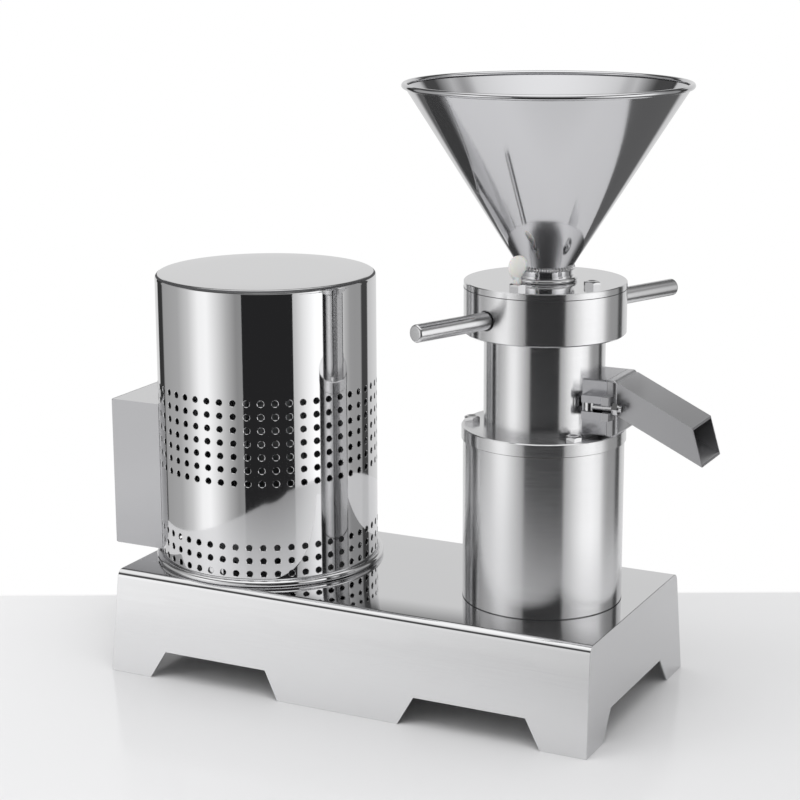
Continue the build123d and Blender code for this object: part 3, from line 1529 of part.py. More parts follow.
clamp_nut_blank = hex_nut(2 * clamp_shank_radius, clamp_nut_across, clamp_nut_height)
for side, name in ((-1, "front"), (1, "rear")):
    with BuildPart() as swing_bolt:
        with Locations((pin_x, side * clamp_y, clamp_z)):
            add(clamp_bolt())
    swing_bolt.part.label = name + "_swing_bolt"
    export_step(swing_bolt.part, "parts/" + name + "_swing_bolt.step")
    with BuildPart() as swing_nut:
        nut_x = pin_x + keeper_radius + rest_gap
        with Locations(Plane((nut_x, side * clamp_y, clamp_z), x_dir=(0, 1, 0), z_dir=(1, 0, 0))):
            add(clamp_nut_blank)
    swing_nut.part.label = name + "_swing_nut"
    export_step(swing_nut.part, "parts/" + name + "_swing_nut.step")
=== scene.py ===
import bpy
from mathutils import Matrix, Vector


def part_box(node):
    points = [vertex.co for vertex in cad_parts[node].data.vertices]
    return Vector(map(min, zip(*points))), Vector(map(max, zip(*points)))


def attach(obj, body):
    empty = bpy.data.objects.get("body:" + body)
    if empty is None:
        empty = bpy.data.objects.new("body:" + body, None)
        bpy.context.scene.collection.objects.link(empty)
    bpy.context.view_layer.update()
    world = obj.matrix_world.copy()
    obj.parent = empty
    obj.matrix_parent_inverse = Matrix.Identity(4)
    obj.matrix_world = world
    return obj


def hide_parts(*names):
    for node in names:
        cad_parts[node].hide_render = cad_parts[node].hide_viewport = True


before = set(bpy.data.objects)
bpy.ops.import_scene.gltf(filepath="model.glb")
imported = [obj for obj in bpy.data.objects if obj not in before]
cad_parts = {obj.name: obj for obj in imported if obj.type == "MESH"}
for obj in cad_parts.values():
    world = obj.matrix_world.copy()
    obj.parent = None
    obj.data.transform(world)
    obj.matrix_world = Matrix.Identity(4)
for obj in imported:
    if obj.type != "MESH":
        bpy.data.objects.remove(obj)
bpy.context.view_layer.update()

import math

import bmesh
import bpy
import numpy as np
from mathutils import Matrix, Vector

# Nut-butter mill in stainless steel, on a pale table. Lengths are metres.
# +X runs from the motor to the grinding head, +Y to the back, +Z up.

millimetre = 0.001
motorAxis = (-0.175, 0.0)
headAxis = (0.1898, 0.0)


# Colours, nodes, materials

def linearFromHex(code):
    # sRGB hex to linear RGBA
    value = np.array([int(code[i:i + 2], 16) for i in (0, 2, 4)]) / 255
    linear = np.where(value <= 0.04045, value / 12.92, ((value + 0.055) / 1.055) ** 2.4)
    return (*map(float, linear), 1.0)


def addNode(tree, kind, inputs=None, **settings):
    # a node with its settings; each input is a value or another node's output
    node = tree.nodes.new(kind)
    for key, value in settings.items():
        setattr(node, key, value)
    for key, value in (inputs or {}).items():
        if isinstance(value, bpy.types.NodeSocket):
            tree.links.new(value, node.inputs[key])
        else:
            node.inputs[key].default_value = value
    return node


def newMaterial(name):
    material = bpy.data.materials.new(name)
    material.use_nodes = True
    material.node_tree.nodes.clear()
    return material, material.node_tree


def finishMaterial(tree, shader):
    addNode(tree, "ShaderNodeOutputMaterial", {"Surface": shader.outputs[0]})


def acrossBrushing(tree, place, centre):
    # Brushing runs round an upright axis; a highlight stretches across it, upward on the sides
    # and outward on the flats: normal x (up x (place - axis)), made unit length
    away = addNode(tree, "ShaderNodeVectorMath", {0: place.outputs["Object"], 1: (*centre, 0.0)},
                   operation="SUBTRACT")
    turned = addNode(tree, "ShaderNodeVectorMath", {0: (0, 0, 1), 1: away.outputs[0]},
                     operation="CROSS_PRODUCT")
    across = addNode(tree, "ShaderNodeVectorMath", {0: place.outputs["Normal"], 1: turned.outputs[0]},
                     operation="CROSS_PRODUCT")
    return addNode(tree, "ShaderNodeVectorMath", {0: across.outputs[0]}, operation="NORMALIZE").outputs[0]


def steelMaterial(name, color, roughness, lineSpacing, lineStretch, bumpDepth, anisotropy=0.0,
                  centre=None, waveSize=None, waveDepth=0.0, roughnessSpread=0.0):
    # Stainless steel. Fine scratches are stretched noise: lineSpacing is the distance between
    # lines in mm along each axis times lineStretch, so a large stretch runs along that axis.
    material, tree = newMaterial(name)
    place = addNode(tree, "ShaderNodeTexCoord")
    position = place.outputs["Object"]
    scale = [1000 / (lineSpacing * stretch) for stretch in lineStretch]
    placed = addNode(tree, "ShaderNodeMapping", {"Vector": position, "Scale": scale})
    lines = addNode(tree, "ShaderNodeTexNoise",
                    {"Vector": placed.outputs[0], "Scale": 1.0, "Detail": 2.0, "Roughness": 0.6})
    bump = addNode(tree, "ShaderNodeBump",
                   {"Height": lines.outputs["Fac"], "Strength": 1.0, "Distance": bumpDepth * millimetre})
    if waveSize:
        # the slight unevenness of rolled sheet
        swell = addNode(tree, "ShaderNodeTexNoise",
                        {"Vector": position, "Scale": 1000 / waveSize, "Detail": 1.0})
        bump = addNode(tree, "ShaderNodeBump",
                       {"Height": swell.outputs["Fac"], "Strength": 1.0,
                        "Distance": waveDepth * millimetre, "Normal": bump.outputs[0]})
    shader = addNode(tree, "ShaderNodeBsdfPrincipled",
                     {"Base Color": linearFromHex(color), "Metallic": 1.0, "Roughness": roughness,
                      "Anisotropic": anisotropy, "Normal": bump.outputs[0]})
    if roughnessSpread:
        spread = addNode(tree, "ShaderNodeMapRange",
                         {"Value": lines.outputs["Fac"], "From Min": 0.3, "From Max": 0.7,
                          "To Min": roughness - roughnessSpread, "To Max": roughness + roughnessSpread})
        tree.links.new(spread.outputs[0], shader.inputs["Roughness"])
    if centre:
        tree.links.new(acrossBrushing(tree, place, centre), shader.inputs["Tangent"])
    finishMaterial(tree, shader)
    return material


def plainMaterial(name, color, roughness, grain=None, grainDepth=0.0, metallic=0.0, **inputs):
    # Moulded, cast or rubber surface with an even grain
    material, tree = newMaterial(name)
    settings = {"Base Color": linearFromHex(color), "Metallic": metallic, "Roughness": roughness}
    settings.update({key.replace("_", " "): value for key, value in inputs.items()})
    if grain:
        position = addNode(tree, "ShaderNodeTexCoord").outputs["Object"]
        noise = addNode(tree, "ShaderNodeTexNoise",
                        {"Vector": position, "Scale": 1000 / grain, "Detail": 3.0})
        bump = addNode(tree, "ShaderNodeBump", {"Height": noise.outputs["Fac"], "Strength": 1.0,
                                                "Distance": grainDepth * millimetre})
        settings["Normal"] = bump.outputs[0]
    finishMaterial(tree, addNode(tree, "ShaderNodeBsdfPrincipled", settings))
    return material


steel = {
    "bright": "DADADB",      # polished stainless, which returns about two thirds of the light
    "spun": "CDCDCF",        # spun and buffed, a little greyer
    "satin": "D6D6D7",       # brushed stainless
    "sheet": "B2B2B4",       # brushed sheet of the small boxes, greyer
    "turned": "D8D8D9",      # stainless off the lathe
    "plain": "CBCBCC",
    "hard": "A9A9AC",
    "inside": "6E6E70",      # the unpolished inner side of the sheet, in shade
}

# Rolled sheet polished to a mirror: clear bands of the room, with a faint upright drift
mirrorDrum = steelMaterial("mirrorPolishedDrumSheet", steel["bright"], 0.04, 3.0, (1, 1, 30), 0.001,
                           waveSize=120, waveDepth=0.05)
# Its inner side is left as rolled and dull, and painted dark for the shade inside the drum
dullShadedInside = plainMaterial("rolledDrumInsidePaintedShade", steel["inside"], 0.6, 1.5, 0.02, metallic=1.0)
# Sheet spun on a lathe and buffed: clear but a little streaky round its axis
spunHopper = steelMaterial("spunBuffedHopperSheet", steel["spun"], 0.09, 1.2, (8, 8, 1), 0.002,
                           anisotropy=0.4, centre=headAxis, waveSize=60, waveDepth=0.05)
# Turned and fine-brushed round the axis: reflections stretch upward in clear-sided bands
turnedHead = steelMaterial("turnedBrushedStainless", steel["turned"], 0.2, 1.2, (60, 60, 1), 0.0012,
                           anisotropy=0.8, centre=headAxis, roughnessSpread=0.02)
# Faced on the lathe and polished: shows the bolts standing on it
polishedLid = steelMaterial("facedPolishedStainless", steel["turned"], 0.1, 1.0, (1, 1, 1), 0.001)
# Folded sheet, brushed along its length on the sides
brushedSheet = steelMaterial("brushedFoldedSheet", steel["satin"], 0.17, 1.0, (90, 90, 1), 0.002,
                             waveSize=90, waveDepth=0.1, roughnessSpread=0.03)
# The same sheet under its film on top: still a mirror
mirrorTop = steelMaterial("mirrorPolishedBaseSheet", steel["bright"], 0.05, 3.0, (30, 1, 1), 0.001,
                          waveSize=150, waveDepth=0.06)
# Small drawn and ground rods
drawnRod = steelMaterial("drawnPolishedRod", steel["turned"], 0.24, 1.2, (20, 1, 1), 0.003)
# Cast and hand-polished pieces of the outlet
handPolished = steelMaterial("handPolishedStainless", steel["hard"], 0.22, 2.5, (1, 1, 1), 0.006,
                             waveSize=18, waveDepth=0.12, roughnessSpread=0.04)
# A hand-laid weld, brushed bright
weldSteel = steelMaterial("brushedWeldBead", steel["bright"], 0.14, 1.5, (1, 1, 1), 0.01)
# Sheet chute, brushed down its slope
chuteSheet = steelMaterial("brushedChuteSheet", steel["sheet"], 0.34, 1.0, (60, 1, 60), 0.002,
                           waveSize=40, waveDepth=0.08)
# Folded sheet of the electric box, satin all over
boxSheet = steelMaterial("satinBoxSheet", steel["sheet"], 0.28, 1.0, (60, 60, 1), 0.002,
                         waveSize=60, waveDepth=0.1)
# Their upper faces: smoother, and painted brighter than the sides for the light that falls on the tops
sheetTopPaintedLight = steelMaterial("paintedLightSheetTop", steel["bright"], 0.16, 1.0, (60, 60, 1), 0.002,
                         waveSize=60, waveDepth=0.1)
# The spout's upper faces: brushed across, and painted brighter than its sides for the light that falls on
# the tops
chuteTopPaintedLight = steelMaterial("brushedChuteTopPaintedLight", steel["spun"], 0.3, 1.0, (1, 60, 60), 0.002,
                         waveSize=60, waveDepth=0.06)
# Painted shadow: a thin dark ring standing for the shade in a close joint
jointShadowPaint = plainMaterial("paintedJointShadow", "2E2E30", 0.6, 0.5, 0.01)
# Cold-headed stainless bolts
boltSteel = steelMaterial("coldHeadedBoltSteel", steel["plain"], 0.14, 2.0, (1, 1, 1), 0.004)
# Hardened and ground grinding faces
groundSteel = steelMaterial("hardenedGroundSteel", steel["hard"], 0.3, 0.8, (30, 30, 1), 0.004)
castAluminium = plainMaterial("dieCastAluminium", "B9BBBD", 0.5, 0.8, 0.03, metallic=1.0)
greyIron = plainMaterial("machinedGreyIron", "4C4C4E", 0.55, 1.2, 0.05, metallic=1.0)
lamination = plainMaterial("stackedCoreSteel", "5A5A5C", 0.6, 0.6, 0.03, metallic=1.0)
copper = plainMaterial("varnishedCopperWinding", "A8613A", 0.35, 1.0, 0.2, metallic=1.0)
rubber = plainMaterial("mouldedBlackRubber", "1B1B1C", 0.75, 0.5, 0.02)
gasketFibre = plainMaterial("pressedFibreGasket", "3A3733", 0.85, 0.7, 0.03)
# Soft silicone: milky, a little light goes through it
silicone = plainMaterial("mouldedWhiteSilicone", "F1F0EC", 0.42, 1.5, 0.02,
                         Subsurface_Weight=0.25, Subsurface_Scale=0.004)
blackNylon = plainMaterial("mouldedBlackNylon", "18191B", 0.5, 0.6, 0.015)
redRocker = plainMaterial("glossyRedPolycarbonate", "B3221C", 0.22)
greyCase = plainMaterial("greyPolypropyleneCase", "85888B", 0.5, 0.8, 0.01)

nodeFinish = {
    mirrorDrum: ["motor_cover"],
    spunHopper: ["hopper"],
    turnedHead: ["bearing_housing", "grinding_chamber", "adjusting_ring", "lid_plate"],
    polishedLid: ["feed_cap"],
    brushedSheet: ["mounting_plate", "fan_cowl", "cover_brackets"],
    boxSheet: ["terminal_box", "terminal_box_lid"],
    drawnRod: ["front_handle", "rear_handle"],
    handPolished: ["outlet_duct"],
    chuteSheet: ["spout"],
    boltSteel: ["front_swing_bolt", "front_swing_nut",
                "rear_swing_bolt", "rear_swing_nut", "clamp_pins", "box_lid_screws", "housing_bolts",
                "motor_bolts", "motor_nuts", "retaining_ring", "stator_key", "motor_key",
                "spindle_key", "bearing_spacer", "lower_bearing_cap", "spindle", "motor_shaft",
                "motor_bearings", "spindle_bearings"],
    groundSteel: ["grinding_rotor", "grinding_stator"],
    castAluminium: ["motor_lower_shield", "motor_frame", "motor_upper_shield"],
    greyIron: ["motor_pulley", "spindle_pulley"],
    lamination: ["stator_core", "motor_rotor"],
    copper: ["stator_windings"],
    rubber: ["v_belts", "shaft_seal"],
    gasketFibre: ["chamber_gasket"],
    silicone: ["port_plug", "terminal_block"],
    blackNylon: ["cable_gland", "switch_frame", "motor_fan"],
    redRocker: ["power_switch"],
    greyCase: ["start_capacitor"],
}
print("materials made")


# CAD nodes: smooth shading within each face

def smoothNode(obj, angle=30.0):
    # the mesh comes as loose triangles: weld them, then split at real edges only
    obj.data.polygons.foreach_set("use_smooth", np.ones(len(obj.data.polygons), bool))
    weld = obj.modifiers.new("weldTriangles", "WELD")
    weld.merge_threshold = 0.00001
    split = obj.modifiers.new("splitEdges", "EDGE_SPLIT")
    split.split_angle = math.radians(angle)


for material, nodeNames in nodeFinish.items():
    for nodeName in nodeNames:
        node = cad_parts[nodeName]
        node.data.materials.clear()
        node.data.materials.append(material)
        smoothNode(node)

# pieces with another finish on faces that look up, and how nearly straight up they look; on the terminal
# box and spout it is also a brighter colour, painted light on the tops
topFinishAndPaintedLight = {"lid_plate": (polishedLid, 0.999),
             "terminal_box": (sheetTopPaintedLight, 0.9), "spout": (chuteTopPaintedLight, 0.6)}
for nodeName, (material, limit) in topFinishAndPaintedLight.items():
    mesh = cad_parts[nodeName].data
    normals = np.empty(len(mesh.polygons) * 3, np.float32)
    mesh.polygon_normals.foreach_get("vector", normals)
    mesh.materials.append(material)
    mesh.polygons.foreach_set("material_index", (normals[2::3] > limit).astype(np.int32))
print("CAD nodes finished")


# Mesh helpers

def meshFromGrids(name, grids, material, weldDistance=1e-6):
    # Each grid is (points, wrapU, wrapV): points is an array (nu, nv, 3); a wrapped direction
    # closes on itself. Quads join neighbours; equal points of all grids are then merged.
    allPoints, allFaces, start = [], [], 0
    for points, wrapU, wrapV in grids:
        nu, nv = points.shape[:2]
        index = start + np.arange(nu * nv).reshape(nu, nv)
        nextU = np.roll(index, -1, 0)
        nextV = np.roll(index, -1, 1)
        nextBoth = np.roll(nextU, -1, 1)
        quads = np.stack([index, nextU, nextBoth, nextV], -1)
        quads = quads[: nu if wrapU else nu - 1, : nv if wrapV else nv - 1]
        allPoints.append(points.reshape(-1, 3))
        allFaces.append(quads.reshape(-1, 4))
        start += nu * nv
    return meshFromArrays(name, np.concatenate(allPoints), np.concatenate(allFaces), material,
                          weldDistance)


def meshFromArrays(name, points, faces, material, weldDistance=1e-6, sharpAngle=30.0):
    mesh = bpy.data.meshes.new(name)
    mesh.from_pydata(points, [], faces)
    work = bmesh.new()
    work.from_mesh(mesh)
    bmesh.ops.remove_doubles(work, verts=work.verts, dist=weldDistance)
    bmesh.ops.dissolve_degenerate(work, edges=work.edges, dist=weldDistance / 2)
    bmesh.ops.recalc_face_normals(work, faces=work.faces)
    limit = math.radians(sharpAngle)
    for edge in work.edges:
        edge.smooth = len(edge.link_faces) == 2 and edge.calc_face_angle(0.0) < limit
    for face in work.faces:
        face.smooth = True
    work.to_mesh(mesh)
    work.free()
    mesh.materials.append(material)
    obj = bpy.data.objects.new(name, mesh)
    bpy.context.scene.collection.objects.link(obj)
    return obj


def placePiece(obj, body, slotName, *nodes):
    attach(obj, body)
    if nodes:
        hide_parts(*nodes)


def revolved(outline, centre, segments):
    # profile (r, z) turned round an upright axis: (cx + r cos a, cy + r sin a, z)
    outline = np.asarray(outline, float)
    angle = np.linspace(0, 2 * np.pi, segments, endpoint=False)[:, None]
    radius, height = outline[:, 0][None, :], outline[:, 1][None, :]
    return np.stack([centre[0] + radius * np.cos(angle), centre[1] + radius * np.sin(angle),
                     height + 0 * angle], -1)


def arc(centre, radius, startDegrees, endDegrees, count):
    # points on a circle in the (r, z) plane
    turn = np.radians(np.linspace(startDegrees, endDegrees, count))
    return np.stack([centre[0] + radius * np.cos(turn), centre[1] + radius * np.sin(turn)], -1)


# Drum cover with its punched holes

drum = {
    "radius": 133.4 * millimetre,
    "sheet": 1.5 * millimetre,
    "top": 479.8 * millimetre,
    "edge": 6.0 * millimetre,
    "beadRadius": 4.0 * millimetre,
    "beadHeight": 128.4 * millimetre,
    "holeRadius": 3.9 * millimetre,
    "lipWidth": 0.45 * millimetre,
    "lipDepth": 0.35 * millimetre,
    "columns": 50,
    "firstColumn": -56.2,            # degrees
    "rowPitch": 16.08 * millimetre,
    "rowBlocks": ((139.4 * millimetre, 3), (249.8 * millimetre, 7)),
}


def holeCells(firstRow, rows):
    # Each cell is a square of sheet round one hole. Its 16 rim points lie on the square's edge;
    # the hole's 16 points are at the same bearings: (a, h) -> (R cos t, R sin t, z), t = t0 + a/R.
    pitchAngle = 2 * np.pi / drum["columns"]
    halfWidth = drum["radius"] * pitchAngle / 2
    halfHeight = drum["rowPitch"] / 2
    steps = np.linspace(-1, 1, 5)[:-1]
    square = np.concatenate([np.stack([steps, -np.ones(4)], -1), np.stack([np.ones(4), steps], -1),
                             np.stack([-steps, np.ones(4)], -1), np.stack([-np.ones(4), -steps], -1)])
    square = square * (halfWidth, halfHeight)
    bearing = np.arctan2(square[:, 1], square[:, 0])
    ring = np.stack([np.cos(bearing), np.sin(bearing)], -1)
    lip, hole = drum["holeRadius"] + drum["lipWidth"], drum["holeRadius"]
    outer, inner = drum["radius"], drum["radius"] - drum["sheet"]
    layers = [(square, outer), (ring * lip, outer), (ring * hole, outer - drum["lipDepth"]),
              (ring * hole, inner), (square, inner)]
    column, row = np.meshgrid(np.arange(drum["columns"]), np.arange(rows), indexing="ij")
    centreAngle = np.radians(drum["firstColumn"]) + column.ravel() * pitchAngle
    centreHeight = firstRow + row.ravel() * drum["rowPitch"]
    layerPoints = []
    for flat, radius in layers:
        turn = centreAngle[:, None] + flat[None, :, 0] / drum["radius"]
        layerPoints.append(np.stack([motorAxis[0] + radius * np.cos(turn),
                                     motorAxis[1] + radius * np.sin(turn),
                                     centreHeight[:, None] + flat[None, :, 1] + 0 * turn], -1))
    points = np.stack(layerPoints, 1)                      # cell, layer, rim point
    cells, layerCount, rim = points.shape[:3]
    index = np.arange(cells * layerCount * rim).reshape(cells, layerCount, rim)
    following = np.roll(index, -1, 2)
    faces = np.stack([index[:, :-1], following[:, :-1], following[:, 1:], index[:, 1:]], -1)
    return points.reshape(-1, 3), faces.reshape(-1, 4)


def drumBand(low, high, radius, rows):
    # plain wall between two heights, divided as the cells' edges are
    segments = drum["columns"] * 4
    start = np.radians(drum["firstColumn"]) - np.pi / drum["columns"]
    angle = (start + np.linspace(0, 2 * np.pi, segments, endpoint=False))[:, None]
    height = np.linspace(low, high, rows)[None, :]
    return np.stack([motorAxis[0] + radius * np.cos(angle) + 0 * height,
                     motorAxis[1] + radius * np.sin(angle) + 0 * height, height + 0 * angle], -1)


def drumTurned(outline):
    # profile (r, z) turned with the same divisions as the wall
    segments = drum["columns"] * 4
    start = np.radians(drum["firstColumn"]) - np.pi / drum["columns"]
    angle = (start + np.linspace(0, 2 * np.pi, segments, endpoint=False))[:, None]
    radius, height = outline[:, 0][None, :], outline[:, 1][None, :]
    return np.stack([motorAxis[0] + radius * np.cos(angle), motorAxis[1] + radius * np.sin(angle),
                     height + 0 * angle], -1)


def makeDrum():
    outer, inner = drum["radius"], drum["radius"] - drum["sheet"]
    half = drum["rowPitch"] / 2
    (lowStart, lowRows), (highStart, highRows) = drum["rowBlocks"]
    lowFrom, lowTo = lowStart - half, lowStart + (lowRows - 0.5) * drum["rowPitch"]
    highFrom, highTo = highStart - half, highStart + (highRows - 0.5) * drum["rowPitch"]
    shoulder = drum["top"] - drum["edge"]
    pieces = [holeCells(lowStart, lowRows), holeCells(highStart, highRows)]
    points = [p for p, f in pieces]
    faces = [pieces[0][1], pieces[1][1] + len(pieces[0][0])]
    start = sum(len(p) for p in points)
    topOuter = np.concatenate([arc((outer - drum["edge"], shoulder), drum["edge"], 0, 90, 10),
                               [(0.09, drum["top"]), (0.045, drum["top"]), (0.0, drum["top"])]])
    innerEdge = drum["edge"] - drum["sheet"]
    ceiling = drum["top"] - drum["sheet"]
    topInner = np.concatenate([arc((inner - innerEdge, shoulder), innerEdge, 0, 90, 6),
                               [(0.0, ceiling)]])
    foot = [(outer, drum["beadHeight"]), (inner, drum["beadHeight"])]
    grids = [(drumBand(drum["beadHeight"], lowFrom, outer, 2), False),
             (drumBand(drum["beadHeight"], lowFrom, inner, 2), False),
             (drumTurned(np.array(foot)), False),
             (drumBand(lowTo, highFrom, outer, 4), False),
             (drumBand(lowTo, highFrom, inner, 4), False),
             (drumBand(highTo, shoulder, outer, 6), False),
             (drumBand(highTo, shoulder, inner, 6), False),
             (drumTurned(topOuter), False), (drumTurned(topInner), False)]
    bead = arc((outer + drum["beadRadius"] - drum["sheet"] / 2, drum["beadHeight"]),
               drum["beadRadius"], 0, 360, 17)[:-1]
    grids.append((drumTurned(bead), True))
    for grid, closed in grids:
        nu, nv = grid.shape[:2]
        index = start + np.arange(nu * nv).reshape(nu, nv)
        nextU, nextV = np.roll(index, -1, 0), np.roll(index, -1, 1)
        quads = np.stack([index, nextU, np.roll(nextU, -1, 1), nextV], -1)
        if not closed:
            quads = quads[:, :-1]
        points.append(grid.reshape(-1, 3))
        faces.append(quads.reshape(-1, 4))
        start += nu * nv
    obj = meshFromArrays("drumCover", np.concatenate(points), np.concatenate(faces), mirrorDrum, 2e-6)
    obj.data.materials.append(dullShadedInside)
    setRoundNormals(obj, motorAxis, drum["radius"], drum["sheet"])
    placePiece(obj, "base", "satin_stainless", "motor_cover")


def setRoundNormals(obj, axis, radius, sheet):
    # On the wall itself each corner's normal points exactly away from the axis, so that the
    # polished sheet reflects as one smooth cylinder between its holes.
    mesh = obj.data
    corners = np.empty(len(mesh.loops), np.int32)
    mesh.loops.foreach_get("vertex_index", corners)
    co = np.empty(len(mesh.vertices) * 3)
    mesh.vertices.foreach_get("co", co)
    co = co.reshape(-1, 3)[corners]
    normals = np.empty(len(mesh.loops) * 3, np.float32)
    mesh.corner_normals.foreach_get("vector", normals)
    normals = normals.reshape(-1, 3)
    faceNormals = np.empty(len(mesh.polygons) * 3, np.float32)
    mesh.polygon_normals.foreach_get("vector", faceNormals)
    totals = np.empty(len(mesh.polygons), np.int32)
    mesh.polygons.foreach_get("loop_total", totals)
    faceOfCorner = np.repeat(faceNormals.reshape(-1, 3), totals, 0)
    away = co[:, :2] - axis
    distance = np.linalg.norm(away, axis=1)
    outward = np.concatenate([away / np.maximum(distance, 1e-9)[:, None], np.zeros((len(co), 1))], 1)
    facing = np.sum(outward * faceOfCorner, 1)
    onWall = (abs(distance - radius) < 1e-5) | (abs(distance - radius + sheet) < 1e-5)
    onWall &= (abs(facing) > 0.98) & (abs(faceOfCorner[:, 2]) < 0.02)
    normals[onWall] = outward[onWall] * np.sign(facing[onWall])[:, None]
    mesh.normals_split_custom_set(normals)
    # faces on the inner side of the sheet keep the rolled finish with its painted shade
    middles = np.empty(len(mesh.polygons) * 3, np.float32)
    mesh.polygons.foreach_get("center", middles)
    middles = middles.reshape(-1, 3)
    fromAxis = np.linalg.norm(middles[:, :2] - axis, axis=1)
    inner = (fromAxis < radius - sheet / 2) & (middles[:, 2] < drum["top"] - sheet / 2)
    mesh.polygons.foreach_set("material_index", inner.astype(np.int32))


makeDrum()
print("drum made")


# Hopper with its rolled rim and the weld at its neck

hopper = {
    "rimRadius": 158.6 * millimetre,
    "rimHeight": 715.3 * millimetre,
    "rimBead": 3.3 * millimetre,
    "sheet": 1.5 * millimetre,
    "neckRadius": 30.0 * millimetre,
    "neckBottom": 504.65 * millimetre,
    "neckTop": 512.0 * millimetre,
    "spigotRadius": 26.95 * millimetre,
    "spigotBottom": 490.6 * millimetre,
    "weldRadius": 2.5 * millimetre,
    "weldRipples": 58,
}


def makeHopper():
    bore = hopper["spigotRadius"] - 2 * hopper["sheet"]
    topOuter = hopper["rimRadius"] + hopper["sheet"] / 2
    topInner = hopper["rimRadius"] - hopper["sheet"]
    up = np.linspace(0, 1, 24)[:, None]
    outerCone = (1 - up) * (hopper["neckRadius"], hopper["neckTop"]) + up * (topOuter, hopper["rimHeight"])
    innerCone = (1 - up) * (topInner, hopper["rimHeight"]) + up * (bore, hopper["neckTop"])
    outline = np.concatenate([
        [(bore, hopper["spigotBottom"]), (hopper["spigotRadius"], hopper["spigotBottom"]),
         (hopper["spigotRadius"], hopper["neckBottom"]), (hopper["neckRadius"], hopper["neckBottom"])],
        outerCone, innerCone])
    rim = arc((hopper["rimRadius"], hopper["rimHeight"]), hopper["rimBead"], 0, 360, 25)[:-1]
    grids = [(revolved(outline, headAxis, 192), True, True), (revolved(rim, headAxis, 192), True, True)]
    obj = meshFromGrids("hopperCone", grids, spunHopper)
    placePiece(obj, "hopper_group", "polished_stainless", "hopper")
    makeNeckWeld()


def makeNeckWeld():
    # rippled bead: a torus whose thickness is w (1 + 0.24 cos(n a + 2 sin 5a) + 0.12 cos 7a)
    # along its turn a
    turns = 580
    angle = np.linspace(0, 2 * np.pi, turns, endpoint=False)[:, None]
    around = np.linspace(0, 2 * np.pi, 12, endpoint=False)[None, :]
    ripple = 1 + 0.24 * np.cos(hopper["weldRipples"] * angle + 2 * np.sin(5 * angle))
    thick = hopper["weldRadius"] * (ripple + 0.12 * np.cos(7 * angle + 1.0))
    radius = hopper["neckRadius"] + 0.3 * millimetre + thick * np.cos(around)
    height = hopper["neckTop"] + 0.3 * millimetre + 0.9 * thick * np.sin(around)
    points = np.stack([headAxis[0] + radius * np.cos(angle), headAxis[1] + radius * np.sin(angle),
                       height], -1)
    obj = meshFromGrids("neckWeld", [(points, True, True)], weldSteel)
    placePiece(obj, "hopper_group", "polished_stainless")


makeHopper()
print("hopper made")


# Folded base cover

baseCover = {
    "length": 620.0 * millimetre,
    "depth": 314.0 * millimetre,
    "height": 124.5 * millimetre,
    "endLean": 3.3 * millimetre,
    "sideLean": 15.0 * millimetre,
    "sheet": 2.5 * millimetre,
    "fold": 10.0 * millimetre,       # outside radius of the long folds
    "foldSteps": 10,
    "notchHeight": 33.5 * millimetre,
    "sideNotch": (166.5 * millimetre, 176.0 * millimetre, 19.0 * millimetre),   # middle, width, slant
    "endNotch": (213.0 * millimetre, 24.5 * millimetre),                        # width, slant
    "holes": ((-175.0 * millimetre, 64.3 * millimetre), (189.8 * millimetre, 45.0 * millimetre)),
    "holeSquare": 80.0 * millimetre,
    "softEdge": 0.5 * millimetre,
}


